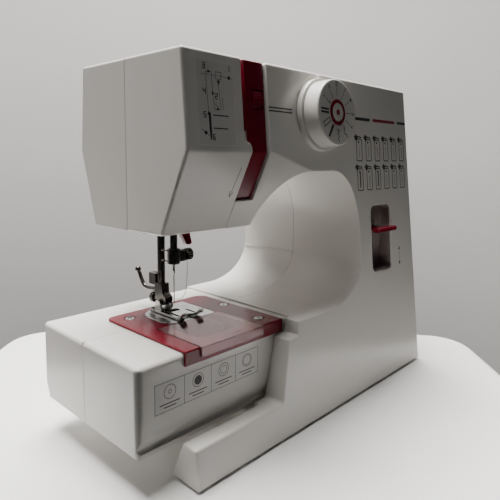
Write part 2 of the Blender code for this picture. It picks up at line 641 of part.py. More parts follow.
def needle_clamp():
    """Collar at the end of the needle bar, with a boss for its screw and two thread hooks."""
    x, y = NEEDLE
    low, high = CLAMP_Z
    radius = CLAMP_RADIUS
    profile = [(0.0, low), (radius - 0.6, low), (radius, low + 0.6), (radius, high - 0.6),
               (radius - 0.6, high), (0.0, high)]
    boss = box(x + 2.0, x + 10.5, y - 3.6, y + 3.6, CLAMP_SCREW_Z - 4.6, CLAMP_SCREW_Z + 4.6)
    hooks = [rod((x - 2.0, y + 2.0, z), (x - 3.5, y + 9.0, z + 0.6), 0.8, 8) for z in (low + 1.6, high - 2.4)]
    bore = rod((x, y, low - 5.0), (x, y, high + 3.0), NEEDLE_BAR_RADIUS + GAP)
    screw_bore = rod((x + 1.0, y, CLAMP_SCREW_Z), (x + 14.0, y, CLAMP_SCREW_Z), 1.8, 12)
    collar = moved(turned(profile, 20), x, y)
    piece("needle_clamp", cut(fused(collar, boss, *hooks), bore, screw_bore), DARK_STEEL)


def clamp_screw():
    """Thumb screw that holds the needle."""
    start = (NEEDLE[0] + 3.6, NEEDLE[1], CLAMP_SCREW_Z)
    profile = [(0.0, 0.0), (1.4, 0.0), (1.4, 7.4), (4.4, 7.6), (4.8, 8.4), (4.8, 12.6), (4.2, 13.4),
               (0.0, 13.4)]
    piece("clamp_screw", aimed(turned(profile, 16), start, (1, 0, 0)), DARK_STEEL, start)


def needle():
    """Needle with its thick shank in the bar."""
    low, high = NEEDLE_Z
    shank = 1.0
    profile = [(0.0, low), (NEEDLE_RADIUS - 0.1, low + 2.4), (NEEDLE_RADIUS, high - 8.2), (shank, high - 5.2),
               (shank, high), (0.0, high)]
    piece("needle", moved(turned(profile, 12), *NEEDLE), STEEL)


def presser_bar():
    x, y = PRESSER
    low, high = PRESSER_BAR_Z
    profile = [(0.0, low), (2.7, low), (PRESSER_BAR_RADIUS, low + 0.5), (PRESSER_BAR_RADIUS, high - 0.5),
               (2.6, high), (0.0, high)]
    piece("presser_bar", moved(turned(profile, 20), x, y), DARK_STEEL)


def presser_block():
    """Block clamped on the presser bar, which the lifter pushes up."""
    x, y = PRESSER
    bore = rod((x, y, PRESSER_BLOCK_Z[0] - 6.0), (x, y, PRESSER_BLOCK_Z[1] + 6.0), PRESSER_BAR_RADIUS + GAP)
    block = cut(box(x - 5.0, x + 5.0, y - 5.2, y + 9.0, *PRESSER_BLOCK_Z), bore)
    piece("presser_block", block, ALLOY)


def presser_spring():
    """Round-wire spring that presses the foot down."""
    x, y = PRESSER
    coil_radius, wire_radius, turns, steps = 5.2, 0.6, 6, 10
    low = PRESSER_BLOCK_Z[1] + GAP + wire_radius
    high = GUIDE_HIGH_Z - GAP - wire_radius
    path = []
    for i in range(turns * steps + 1):
        angle = TAU * i / steps
        path.append((x + coil_radius * math.cos(angle), y + coil_radius * math.sin(angle),
                     low + (high - low) * i / (turns * steps)))
    piece("presser_spring", swept(path, wire_radius, 5), STEEL)


def presser_lifter():
    """Lever behind the head that raises the foot, turning about an axis across the machine."""
    y, z = LIFTER_PIVOT
    arm = [(y - 4.0, z - 4.0), (y + 3.0, z - 5.0), (y + 16.0, z - 15.0), (y + 21.0, z - 15.0),
           (y + 22.0, z - 11.0), (y + 8.0, z + 3.0), (y + 2.0, z + 4.6), (y - 6.0, z + 4.6)]
    x = PRESSER[0]
    lever = fused(prism(arm, "x", x - 4.5, x + 4.5), rod((x - 7.0, y, z), (x + 7.0, y, z), 2.1, 14))
    piece("presser_lifter", lever, WHITE, (x, y, z))


def foot_pin(radius, half_length, steps=10):
    """The foot's cross pin, or the bore for it."""
    x, y = PRESSER
    pin_y, pin_z = y + FOOT_PIN[0], PLATE_TOP + FOOT_PIN[1]
    return rod((x - half_length, pin_y, pin_z), (x + half_length, pin_y, pin_z), radius, steps)


def foot_ankle():
    """Shank on the end of the presser bar, with its clamp block at the rear and the foot's cross slot."""
    x, y = PRESSER
    left, right, low = x - 3.6, x + 3.8, ANKLE_SCREW_Z - 0.6
    shank = box(left, right, y - 5.0, y + 4.6, low, low + 14.6)
    toe = box(left, right, y - 10.0, y - 4.0, low, low + 5.6)
    neck = box(left, right, y - 4.8, y - 0.4, low - 3.5, low + 0.6)
    block = box(x - 3.0, x + 3.0, y + 4.0, y + 12.5, low + 12.0, low + 21.6)
    bore = rod((x, y, PRESSER_BAR_Z[0] - 4.0), (x, y, PRESSER_BAR_Z[0] + 17.0), PRESSER_BAR_RADIUS + GAP)
    screw_bore = rod((x, y + 2.0, ANKLE_SCREW_Z), (x, y + 14.0, ANKLE_SCREW_Z), 1.7, 12)
    solid = fused(shank, toe, neck, block)
    piece("foot_ankle", cut(solid, bore, screw_bore, foot_pin(1.0 + GAP, 8.0)), DARK_STEEL)


def ankle_screw():
    x, y = PRESSER
    profile = [(0.0, 0.0), (1.3, 0.0), (1.3, 4.2), (4.4, 4.4), (4.4, 8.4), (3.8, 9.2), (0.0, 9.2)]
    start = (x, y + 2.8, ANKLE_SCREW_Z)
    piece("ankle_screw", aimed(turned(profile, 16), start, (0, 1, 0)), DARK_STEEL, start)


def foot_release_lever():
    """Curved lever behind the ankle, ending in a small ball, that lets the foot go."""
    x, y = PRESSER
    bend = [(y + 5.4, 100.6), (y + 13.0, 99.6), (y + 19.0, 99.0), (y + 24.0, 100.5), (y + 27.6, 104.5),
            (y + 30.4, 109.0), (y + 33.0, 112.5)]
    arm = swept(smooth_route([(x, *point) for point in bend], 2), 1.7, 8)
    ball = moved(sphere(2.7, 12), x, *bend[-1])
    piece("foot_release_lever", fused(arm, ball), DARK_STEEL, (x, *bend[0]))


def sphere(radius, steps):
    rows = steps // 2
    profile = [(radius * math.sin(math.pi * i / rows), -radius * math.cos(math.pi * i / rows))
               for i in range(rows + 1)]
    return turned(profile, steps)


def presser_foot():
    """Sole with two turned-up toes, a needle opening and a cross pin between two ears."""
    x, y = PRESSER
    low = PLATE_TOP + 0.5
    toe_y = y - 43.0
    section = [(y + 2.0, low), (y + 2.0, low + 1.8), (toe_y + 9.0, low + 1.8), (toe_y + 3.6, low + 4.2),
               (toe_y, low + 8.0), (toe_y - 1.2, low + 6.8), (toe_y + 2.8, low + 2.4), (toe_y + 7.6, low)]
    sole = prism(section, "x", x - FOOT_HALF_WIDTH, x + FOOT_HALF_WIDTH)
    nx, ny = NEEDLE
    needle_hole = prism(rounded(nx - 4.5, nx + 4.5, ny - 3.0, ny + 3.0, 2.2), "z", low - 4.0, low + 6.0)
    toe_gap = box(x - TOE_HALF_GAP, x + TOE_HALF_GAP, toe_y - 4.0, ny - 8.0, low - 4.0, low + 14.0)
    ears = [box(x + side, x + side + 1.6, y - 8.0, y + 2.0, low + 1.0, low + 7.5) for side in (-6.2, 4.6)]
    pivot = (x, y + FOOT_PIN[0], PLATE_TOP + FOOT_PIN[1])
    piece("presser_foot", fused(cut(sole, needle_hole, toe_gap), *ears, foot_pin(1.0, 5.4)), STEEL, pivot)


def threader_tab():
    """Ribbed red finger tab of the needle threader, below the head."""
    x, y = TAB
    low, high = HEAD_BOTTOM - 19.0, HEAD_BOTTOM + 14.2
    outline = [(x - 5.5, high), (x - 5.5, low + 12.2), (x + 1.0, low), (x + 5.6, low), (x + 6.4, low + 3.2),
               (x + 3.4, low + 13.2), (x + 3.4, high)]
    tab = prism(outline, "y", y - 2.5, y + 2.5)
    grooves = [low + 3.7 + 3.0 * i for i in range(4)]
    ribs = [box(x - 9.0, x + 9.0, y - 4.0, y - 1.9, z, z + 1.1) for z in grooves]
    piece("threader_tab", cut(tab, *ribs), RED)


def upper_thread():
    """Loose needle thread from the clamp's boss down to the eye of the needle."""
    x, y = NEEDLE
    route = [(x + 9.6, y - 4.3, 127.0), (x + 9.8, y - 4.6, 121.0), (x + 9.2, y - 4.8, 113.0),
             (x + 8.4, y - 4.9, 105.0), (x + 6.8, y - 4.4, 99.6), (x + 4.4, y - 2.8, 96.9),
             (x + 2.2, y - 1.4, 96.2), (x + 0.9, y - 0.5, 96.0)]
    curve = bpy.data.curves.new("upper_thread", "CURVE")
    curve.dimensions = "3D"
    curve.bevel_depth = 0.2 * MM
    curve.bevel_resolution = 2
    curve.use_fill_caps = True
    points = smooth_route(route, 3)
    spline = curve.splines.new("POLY")
    spline.points.add(len(points) - 1)
    for point, (px, py, pz) in zip(spline.points, points):
        point.co = ((px - CENTRE_X) * MM, (py - CENTRE_Y) * MM, pz * MM, 1.0)
    curve.materials.append(THREAD)
    made = bpy.data.objects.new("upper_thread", curve)
    bpy.context.scene.collection.objects.link(made)


def smooth_route(route, steps):
    """Catmull-Rom curve through the route's points."""
    ends = [Vector(route[0]) * 2 - Vector(route[1])] + [Vector(p) for p in route]
    ends.append(Vector(route[-1]) * 2 - Vector(route[-2]))
    points = []
    for a, b, c, d in zip(ends, ends[1:], ends[2:], ends[3:]):
        for i in range(steps):
            t = i / steps
            points.append(0.5 * ((2 * b) + (c - a) * t + (2 * a - 5 * b + 4 * c - d) * t * t
                                 + (3 * b - a - 3 * c + d) * t ** 3))
    points.append(ends[-2])
    return [tuple(point) for point in points]


# --- needle plate and hook ------------------------------------------------------------------------------
def plate_cover():
    """Red plate on the free arm, turned down over its front edge, with a shallow seat for the clear cover."""
    rx0, rx1, ry0, ry1 = RED_PLATE_OUTLINE
    top = PLATE_TOP - 0.2
    plate = prism(rounded(rx0, rx1, ry0, ry1, (1.0, 9.0, 6.0, 1.0)), "z", ARM_TOP + GAP, top)
    plate = fused(plate, box(rx0, rx1, ry0, ARM_FRONT - GAP, ARM_TOP - 8.2, top))
    metal = prism(plate_outline(GAP), "z", ARM_TOP - 4.0, PLATE_TOP + 4.0)
    x0, x1, y0, y1 = COVER_OUTLINE
    seat = prism(rounded(x0 - GAP, x1 + GAP, y0 - 6.0, y1 + 1.0, (1.0, 2.0, 2.0, 1.0)), "z",
                 COVER_BOTTOM - GAP, PLATE_TOP + 4.0)
    bobbin_hole = prism(rounded(HOOK[0] - 23.0, HOOK[0] + 23.0, ARM_FRONT + 11.0, y1 + 1.0, 8.0), "z",
                        ARM_TOP - 4.0, PLATE_TOP + 4.0)
    screws = [rod((x, y, ARM_TOP - 6.0), (x, y, PLATE_TOP + 6.0), SCREW_HEAD_RADIUS + GAP, 20)
              for x, y in PLATE_SCREWS]
    piece("plate_cover", cut(plate, metal, seat, bobbin_hole, *screws), RED)


def plate_outline(grow=0.0):
    x0, x1, y0, y1 = PLATE_OUTLINE
    return rounded(x0 - grow, x1 + grow, y0 - grow, y1 + grow, (2.0, 2.0, 17.0, 12.0), 5)


def plate_screw(name, x, y):
    """Flat-headed screw with a cross slot."""
    low, high = ARM_TOP - 1.4, PLATE_TOP - 0.1
    head = turned([(0.0, low), (SCREW_HEAD_RADIUS, low), (SCREW_HEAD_RADIUS, high - 0.4),
                   (SCREW_HEAD_RADIUS - 0.4, high), (0.0, high)], 20)
    slots = [box(-2.4, 2.4, -0.5, 0.5, PLATE_TOP - 1.1, PLATE_TOP + 1.0),
             box(-0.5, 0.5, -2.4, 2.4, PLATE_TOP - 1.1, PLATE_TOP + 1.0)]
    piece(name, moved(cut(head, *slots), x, y), STEEL)


def needle_plate():
    """Steel plate with the needle hole and the slots for the feed dog."""
    x, y = NEEDLE
    plate = prism(plate_outline(), "z", PLATE_TOP - 1.5, PLATE_TOP)
    hole = prism(rounded(x - 3.5, x + 3.5, y - 1.2, y + 1.2, 1.1), "z", PLATE_TOP - 6.0, PLATE_TOP + 6.0)
    slots = [box(x + sx - 2.0, x + sx + 2.0, y - 11.0, y + 12.0, PLATE_TOP - 6.0, PLATE_TOP + 6.0)
             for sx in FEED_ROWS]
    piece("needle_plate", cut(plate, hole, *slots), STEEL)


def feed_dog():
    """Two toothed rows on one cross piece."""
    x, y = NEEDLE
    base = box(x - 10.4, x + 10.4, y + 4.0, y + 9.0, 77.4, 81.4)
    rows = []
    for sx in FEED_ROWS:
        points = [(y - 8.0, 80.4)]
        for i in range(8):
            start = y - 8.0 + i * 2.1
            points += [(start, PLATE_TOP - 1.0), (start + 1.3, PLATE_TOP - 0.1)]
        points += [(y + 9.0, PLATE_TOP - 1.0), (y + 9.0, 80.4)]
        rows.append(prism(points, "x", x + sx - 1.3, x + sx + 1.3))
    piece("feed_dog", fused(base, *rows), STEEL)


def bobbin_cover():
    """Clear cover with a front lip and a finger recess."""
    x0, x1, y0, y1 = COVER_OUTLINE
    high = PLATE_TOP + 0.2
    sheet = prism(rounded(x0, x1, y0, y1, (1.0, 3.0, 3.0, 1.0)), "z", COVER_BOTTOM, high)
    lip = box(x0, x1, y0, RED_PLATE_OUTLINE[2] - GAP, LIP_BOTTOM, high)
    piece("bobbin_cover", fused(sheet, lip), CLEAR)


def hook():
    """Rotary hook: an open cup with a point, on a short upright shaft with its gear."""
    x, y = HOOK
    low, high = HOOK_Z
    radius, stem = HOOK_RADIUS, 3.0
    foot = LOWER_Z - 7.2
    profile = [(0.0, foot), (stem, foot), (stem, low), (radius, low), (radius, high), (radius - 2.0, high),
               (radius - 2.0, low + 2.4), (0.0, low + 2.4)]
    cup = moved(turned(profile, 24), x, y)
    notch = box(x + 4.0, x + radius + 5.0, y + 6.0, y + 16.0, high - 8.0, high + 4.0)
    wheel_radius = LOWER_Y - y - LOWER_GEAR_RADIUS - GAP
    wheel = moved(gear(12, wheel_radius, 2.0, LOWER_Z - 4.0, LOWER_Z + 4.0, stem - 1.0), x, y)
    piece("hook", fused(cut(cup, notch), wheel), DARK_STEEL, (x, y, low))


def bobbin_case():
    """Black basket that holds the bobbin still inside the hook."""
    x, y = HOOK
    low, high = CASE_Z
    radius, wall = CASE_RADIUS, 2.0
    profile = [(0.0, low), (radius, low), (radius, high), (radius - wall, high), (radius - wall, low + wall),
               (0.0, low + wall)]
    tab = box(x - 3.0, x + 3.0, y - radius - 5.5, y - radius + 1.5, high - 5.0, high - 0.4)
    piece("bobbin_case", fused(moved(turned(profile, 24), x, y), tab), BLACK)


def bobbin():
    """Clear bobbin with two flanges."""
    low, high = BOBBIN_Z
    rim, core, bore, flange = BOBBIN_RADIUS, 4.2, 3.0, 1.0
    profile = [(bore, low), (rim, low), (rim, low + flange), (core, low + flange), (core, high - flange),
               (rim, high - flange), (rim, high), (bore, high)]
    piece("bobbin", moved(turned(profile, 18, ring=True), *HOOK), CLEAR, (*HOOK, low))


def gear(teeth, radius, depth, low, high, bore):
    """Spur gear along Z with straight-sided teeth."""
    outline = []
    for i in range(teeth):
        for share, r in ((0.0, radius - depth), (0.3, radius), (0.6, radius), (0.9, radius - depth)):
            angle = TAU * (i + share) / teeth
            outline.append((r * math.cos(angle), r * math.sin(angle)))
    return cut(prism(outline, "z", low, high), turned([(bore, low - 5), (bore, high + 5)], 16))


# --- drive ----------------------------------------------------------------------------------------------
def timing_pulley(y, z, bore):
    """Flanged pulley of the toothed belt, centred on a shaft."""
    wheel = turned(pulley_profile(TIMING_RADIUS, PULLEY_WIDTH, bore), 18, ring=True)
    return aimed(wheel, (TIMING_X, y, z), (1, 0, 0))


def main_shaft():
    """Shaft through the upper arm, with the pulley of the toothed belt."""
    left, right = SHAFT_X
    shaft = rod((left, SHAFT_Y, SHAFT_Z), (right, SHAFT_Y, SHAFT_Z), SHAFT_RADIUS, 20)
    pulley = timing_pulley(SHAFT_Y, SHAFT_Z, SHAFT_RADIUS - 0.4)
    piece("main_shaft", fused(shaft, pulley), STEEL, ((left + right) / 2.0, SHAFT_Y, SHAFT_Z))


def bush(name, x):
    profile = [(SHAFT_RADIUS + GAP, -5.0), (BUSH_RADIUS, -5.0), (BUSH_RADIUS, 5.0), (SHAFT_RADIUS + GAP, 5.0)]
    piece(name, aimed(turned(profile, 20, ring=True), (x, SHAFT_Y, SHAFT_Z), (1, 0, 0)), BRASS)


def crank_disc():
    """Disc on the main shaft's left end, with the crank pin."""
    right = SHAFT_X[0] - GAP
    left = right - 8.2
    disc = rod((left, SHAFT_Y, SHAFT_Z), (right, SHAFT_Y, SHAFT_Z), CRANK_RADIUS, 24)
    pin_z = SHAFT_Z + CRANK_THROW
    pin = rod((right + 1.6, SHAFT_Y, pin_z), (right - 4.2, SHAFT_Y, pin_z), 2.4, 12)
    piece("crank_disc", fused(disc, pin), ALLOY, (right - 4.2, SHAFT_Y, SHAFT_Z))


def hand_wheel():
    """Ribbed wheel on the right end of the main shaft."""
    high = WHEEL_RIGHT - WHEEL_LEFT
    face_radius = WHEEL_RADIUS - 1.2
    rim = prism(ribbed(WHEEL_RADIUS, 1.0, 28), "z", 1.0, high - 3.0)
    face = turned([(0.0, 0.0), (15.0, 0.0), (face_radius - 1.3, 0.2), (face_radius, 2.0),
                   (face_radius, high - 3.0), (face_radius - 3.8, high - 0.4), (face_radius - 7.8, high),
                   (0.0, high)], 28)
    hub = turned([(HUB_RADIUS, -12.0), (HUB_RADIUS, 2.0)], 20)
    bore_end = SHAFT_X[1] - WHEEL_LEFT + 0.6
    bore = turned([(SHAFT_RADIUS + GAP, -20.0), (SHAFT_RADIUS + GAP, bore_end)], 16)
    wheel = aimed(cut(fused(face, rim, hub), bore), (WHEEL_LEFT, SHAFT_Y, SHAFT_Z), (1, 0, 0))
    piece("hand_wheel", wheel, WHITE, (WHEEL_LEFT + 8.0, SHAFT_Y, SHAFT_Z))


def pulley_profile(radius, width, bore):
    """Section of a flanged pulley, as a closed ring."""
    half = width / 2.0
    return [(bore, -half), (radius + 1.5, -half), (radius + 1.5, 1.2 - half), (radius, 1.6 - half),
            (radius, half - 1.6), (radius + 1.5, half - 1.2), (radius + 1.5, half), (bore, half)]


def main_pulley():
    centre = (BELT_X, SHAFT_Y, SHAFT_Z)
    wheel = turned(pulley_profile(MAIN_PULLEY_RADIUS, PULLEY_WIDTH, SHAFT_RADIUS + GAP), 24, ring=True)
    piece("main_pulley", aimed(wheel, centre, (1, 0, 0)), BLACK, centre)


def belt(name, x, first, first_radius, second, second_radius):
    """Belt round two pulleys: the hull of two circles with its inside taken out."""
    outer = belt_outline(first, first_radius + 1.7, second, second_radius + 1.7)
    inner = belt_outline(first, first_radius + GAP, second, second_radius + GAP)
    half = BELT_WIDTH / 2.0
    band = prism(outer, "x", x - half, x + half)
    piece(name, cut(band, prism(inner, "x", x - half - 4.0, x + half + 4.0)), RUBBER)


def belt_outline(first, r1, second, r2, steps=10):
    """Outer tangent outline of two circles."""
    a, b = Vector(first), Vector(second)
    along = (b - a)
    heading = math.degrees(math.atan2(along.y, along.x))
    open_angle = math.degrees(math.acos((r1 - r2) / along.length))
    outline = arc(a.x, a.y, r1, r1, heading + open_angle, heading + 360 - open_angle, steps)
    outline += arc(b.x, b.y, r2, r2, heading - open_angle, heading + open_angle, steps)
    return outline


def motor():
    """Small electric motor with a bearing boss at its end, lying across the bottom of the pillar."""
    bore = MOTOR_SHAFT_RADIUS + GAP
    end, boss = MOTOR_LENGTH, 8.0
    profile = [(0.0, 0.0), (MOTOR_RADIUS - 2.0, 0.0), (MOTOR_RADIUS, 2.0), (MOTOR_RADIUS, end - 2.0),
               (MOTOR_RADIUS - 2.0, end), (boss, end), (boss, end + 3.0), (bore, end + 3.0),
               (bore, end - 16.0), (0.0, end - 16.0)]
    piece("motor", aimed(turned(profile, 28), (MOTOR_LEFT, MOTOR_Y, MOTOR_Z), (1, 0, 0)), ALLOY)


def motor_pulley():
    """The motor's shaft with its small pulley."""
    centre = (BELT_X, MOTOR_Y, MOTOR_Z)
    profile = pulley_profile(MOTOR_PULLEY_RADIUS, PULLEY_WIDTH, MOTOR_SHAFT_RADIUS - 1.0)
    wheel = aimed(turned(profile, 16, ring=True), centre, (1, 0, 0))
    start = MOTOR_LEFT + MOTOR_LENGTH - 15.0
    shaft = rod((start, MOTOR_Y, MOTOR_Z), (BELT_X + 6.5, MOTOR_Y, MOTOR_Z), MOTOR_SHAFT_RADIUS, 14)
    piece("motor_pulley", fused(shaft, wheel), STEEL, centre)


def motor_mount():
    """Cradle that holds the motor on the base plate."""
    half = MOTOR_RADIUS + 3.0
    left, right = MOTOR_LEFT + 6.0, MOTOR_LEFT + 38.0
    body = box(left, right, MOTOR_Y - half, MOTOR_Y + half, FLOOR_GAP + 2.0, MOTOR_Z - 10.0)
    round_cut = rod((left - 18.0, MOTOR_Y, MOTOR_Z), (right + 20.0, MOTOR_Y, MOTOR_Z), MOTOR_RADIUS + GAP, 28)
    inside = box(left + 4.0, right - 4.0, MOTOR_Y - half - 3.0, MOTOR_Y + half + 3.0, FLOOR_GAP + 4.0,
                 MOTOR_Z - MOTOR_RADIUS - 2.5)
    piece("motor_mount", cut(body, round_cut, inside), BLACK)


def lower_shaft():
    """Shaft along the free arm, with the gear that turns the hook."""
    left, right = 36.0, TIMING_X + 18.0
    shaft = rod((left, LOWER_Y, LOWER_Z), (right, LOWER_Y, LOWER_Z), LOWER_SHAFT_RADIUS)
    wheel = aimed(gear(24, LOWER_GEAR_RADIUS, 1.2, -4.0, 4.0, 2.5), (HOOK[0], LOWER_Y, LOWER_Z), (1, 0, 0))
    pulley = timing_pulley(LOWER_Y, LOWER_Z, LOWER_SHAFT_RADIUS - 0.5)
    piece("lower_shaft", fused(shaft, wheel, pulley), STEEL, ((left + right) / 2.0 + 8.0, LOWER_Y, LOWER_Z))


def chassis():
    """Upright alloy plate behind the shafts, with brackets that carry the bushes, the shafts and the bars."""
    left, right, high, low = 30.0, BODY_RIGHT_TOP - 34.0, 258.0, 36.0
    outline = [(left, 172.0), (60.0, 172.0), (60.0, 203.0), (205.0, 203.0), (205.0, 62.0), (80.0, 62.0),
               (80.0, low), (right, low), (right, high), (left, high)]
    plate = prism(outline, "y", CHASSIS_FRONT, CHASSIS_BACK)
    reach = CHASSIS_FRONT + 1.0
    x, y = NEEDLE
    low_guide = (GUIDE_LOW_Z, GUIDE_LOW_Z + GUIDE_THICKNESS)
    brackets = [box(bush_x - 4.0, bush_x + 4.0, SHAFT_Y - 12.0, reach, SHAFT_Z - 12.0, SHAFT_Z + 12.0)
                for bush_x in BUSH_X]
    brackets.append(box(x - 7.0, x + 11.2, y - 8.0, PRESSER[1] - 6.5, *low_guide))
    brackets.append(box(x + 7.2, x + 11.2, y - 8.0, reach, *low_guide))
    brackets.append(box(x - 7.0, x + 7.5, y - 8.0, reach, GUIDE_HIGH_Z, GUIDE_HIGH_Z + GUIDE_THICKNESS))
    for x_low in (92.0, 206.0):
        brackets.append(box(x_low, x_low + 8.0, LOWER_Y - 9.0, reach, LOWER_Z - 9.0, LOWER_Z + 9.0))
    bores = [rod((bush_x - 12.0, SHAFT_Y, SHAFT_Z), (bush_x + 12.0, SHAFT_Y, SHAFT_Z), BUSH_RADIUS + GAP, 20)
             for bush_x in BUSH_X]
    bores.append(rod((x, y, GUIDE_LOW_Z - 4.0), (x, y, GUIDE_HIGH_Z + 10.0), NEEDLE_BAR_RADIUS + GAP))
    bores.append(rod((*PRESSER, GUIDE_HIGH_Z - 4.0), (*PRESSER, GUIDE_HIGH_Z + 10.0),
                     PRESSER_BAR_RADIUS + GAP))
    bores.append(rod((86.0, LOWER_Y, LOWER_Z), (236.0, LOWER_Y, LOWER_Z), LOWER_SHAFT_RADIUS + GAP))
    shelf = box(left, 86.0, HOOK[1] - 8.0, reach, 30.6, 33.6)
    riser = box(80.0, 86.0, CHASSIS_FRONT, CHASSIS_BACK, 30.6, 40.0)
    post = moved(turned([(7.0, 33.0), (7.0, 37.4)], 20), *HOOK)
    piece("chassis", cut(fused(plate, *brackets, shelf, riser, post), *bores), ALLOY)


# --- panel controls -------------------------------------------------------------------------------------
def on_panel(bm, x, z, lift=0.0):
    """Puts a solid made along Z on the leaning panel, its base lifted off the panel's surface."""
    normal = Vector((0.0, -1.0, LEAN)).normalized()
    start = Vector((x, LEAN * z, z)) + normal * lift
    return aimed(bm, start, normal)


def dial_ring():
    """Low ring behind the stitch dial, with a small nub as its pointer."""
    ring = turned([(6.0, 0.0), (28.0, 0.0), (28.4, 0.6), (28.4, 3.6), (27.6, 4.4), (6.0, 4.4)], 40, ring=True)
    nub = on_panel(box(-2.2, 2.2, -1.6, 1.6, 0.0, 4.0), DIAL_X, DIAL_Z + 29.4, GAP)
    piece("dial_ring", fused(on_panel(ring, DIAL_X, DIAL_Z, GAP), nub), WHITE)


def stitch_dial():
    """Stitch selector knob with a shaft through the panel."""
    profile = [(0.0, -16.0), (4.4, -16.0), (4.4, 5.0), (DIAL_RADIUS + 0.4, 5.0), (DIAL_RADIUS + 0.4, 6.0),
               (DIAL_RADIUS, DIAL_HEIGHT - 0.6), (DIAL_RADIUS - 0.6, DIAL_HEIGHT),
               (DIAL_CAP_RADIUS + GAP, DIAL_HEIGHT), (DIAL_CAP_RADIUS + GAP, DIAL_HEIGHT - 0.6),
               (0.0, DIAL_HEIGHT - 0.6)]
    pivot = (DIAL_X, LEAN * DIAL_Z, DIAL_Z)
    piece("stitch_dial", on_panel(turned(profile, 40), DIAL_X, DIAL_Z), WHITE, pivot)


def dial_cap():
    """Small round cap in the middle of the stitch dial."""
    low, high = DIAL_HEIGHT - 0.6 + GAP, DIAL_HEIGHT + 0.6
    profile = [(0.0, low), (DIAL_CAP_RADIUS, low), (DIAL_CAP_RADIUS, high - 0.4),
               (DIAL_CAP_RADIUS - 0.4, high), (0.0, high)]
    piece("dial_cap", on_panel(turned(profile, 28), DIAL_X, DIAL_Z), RED)


def reverse_lever():
    """Red lever that shows through the slot, turning about a pin across the pillar."""
    y, z = LEVER_PIVOT
    x0, x1 = SLOT[0] + 1.2, SLOT[1] - 1.2
    grip = prism(rounded(5.4, 13.4, z - 2.2, z + 2.2, (2.0, 2.0, 2.0, 2.0)), "x", x0, x1)
    left, right = LEVER_ARM
    arm = box(left, right, 12.0, y + 5.0, z - 2.0, z + 2.0)
    hub = rod((left, y, z), (right, y, z), 5.5, 20)
    pin = rod((left - 10.0, y, z), (right + 10.0, y, z), 2.5, 14)
    piece("reverse_lever", fused(grip, arm, hub, pin), RED, ((left + right) / 2.0, y, z))


# --- top and right side ---------------------------------------------------------------------------------
def spool_pin():
    """Pin for the thread spool, pushed down into the top."""
    profile = [(0.0, TOP - 52.0), (3.0, TOP - 52.0), (3.6, TOP - 50.0), (3.6, TOP + 6.0), (2.0, TOP + 9.0),
               (0.0, TOP + 9.0)]
    piece("spool_pin", moved(turned(profile, 16), *SPOOL), RED, (*SPOOL, TOP))


def winder_spindle():
    """Spindle that winds bobbins, sliding sideways in its slot."""
    profile = [(0.0, TOP - 10.9), (6.0, TOP - 10.9), (6.0, TOP - 7.0), (2.8, TOP - 6.6), (2.8, TOP + 0.6),
               (5.6, TOP + 1.0), (5.6, TOP + 2.4), (2.7, TOP + 2.8), (2.5, TOP + 8.0), (0.0, TOP + 9.0)]
    piece("winder_spindle", moved(turned(profile, 20), *WINDER), WHITE, (*WINDER, TOP))


def side_x(z):
    """x of the leaning right wall at a height."""
    share = (z - FLOOR_GAP) / (TOP - FLOOR_GAP)
    return BODY_RIGHT_BOTTOM + (BODY_RIGHT_TOP - BODY_RIGHT_BOTTOM) * share


def power_switch():
    """Rocker switch in its frame's opening."""
    y0, y1, z0, z1 = SWITCH_CUT
    middle = (z0 + z1) / 2.0
    x = side_x(middle)
    outline = [(x - 9.0, y0 + 1.0), (x - 9.0, y1 - 1.0), (x + 2.6, y1 - 1.0), (x + 0.6, (y0 + y1) / 2.0),
               (x + 1.4, y0 + 1.0)]
    piece("power_switch", prism(outline, "z", z0 + 1.0, z1 - 1.0), BLACK, (x - 2.5, (y0 + y1) / 2.0, middle))


def power_inlet():
    """Mains and foot-pedal inlet: a black block with an open well and two pins."""
    y0, y1, z0, z1 = INLET_CUT
    middle = (z0 + z1) / 2.0
    x = side_x(middle)
    centre = (y0 + y1) / 2.0
    block = box(x - 16.0, x + 0.4, y0 + GAP, y1 - GAP, z0 + GAP, z1 - GAP)
    well = prism(rounded(y0 + 4.0, y1 - 4.0, z0 + 4.0, z1 - 4.0, 3.0), "x", x - 12.0, x + 4.0)
    pins = [rod((x - 14.0, y, middle), (x - 3.0, y, middle), 1.3, 10) for y in (centre - 4.5, centre + 4.5)]
    piece("power_inlet", fused(cut(block, well), *pins), BLACK)


def lamp():
    """Small lamp lens under the head."""
    profile = [(0.0, HEAD_BOTTOM - 1.6), (4.0, HEAD_BOTTOM - 1.2), (5.0, HEAD_BOTTOM - GAP),
               (0.0, HEAD_BOTTOM - GAP)]
    piece("lamp_lens", moved(turned(profile, 20), 12.0, 108.0), CLEAR)


def head_screw():
    """Cross-head screw under the head that holds its cover."""
    head = turned([(0.0, 0.0), (3.6, 0.0), (3.6, 0.8), (3.0, 1.4), (0.0, 1.4)], 16)
    slot = box(-2.2, 2.2, -0.4, 0.4, 0.7, 3.0)
    piece("head_screw", aimed(cut(head, slot), (8.0, 78.0, HEAD_BOTTOM - GAP), (0, 0, -1)), STEEL)


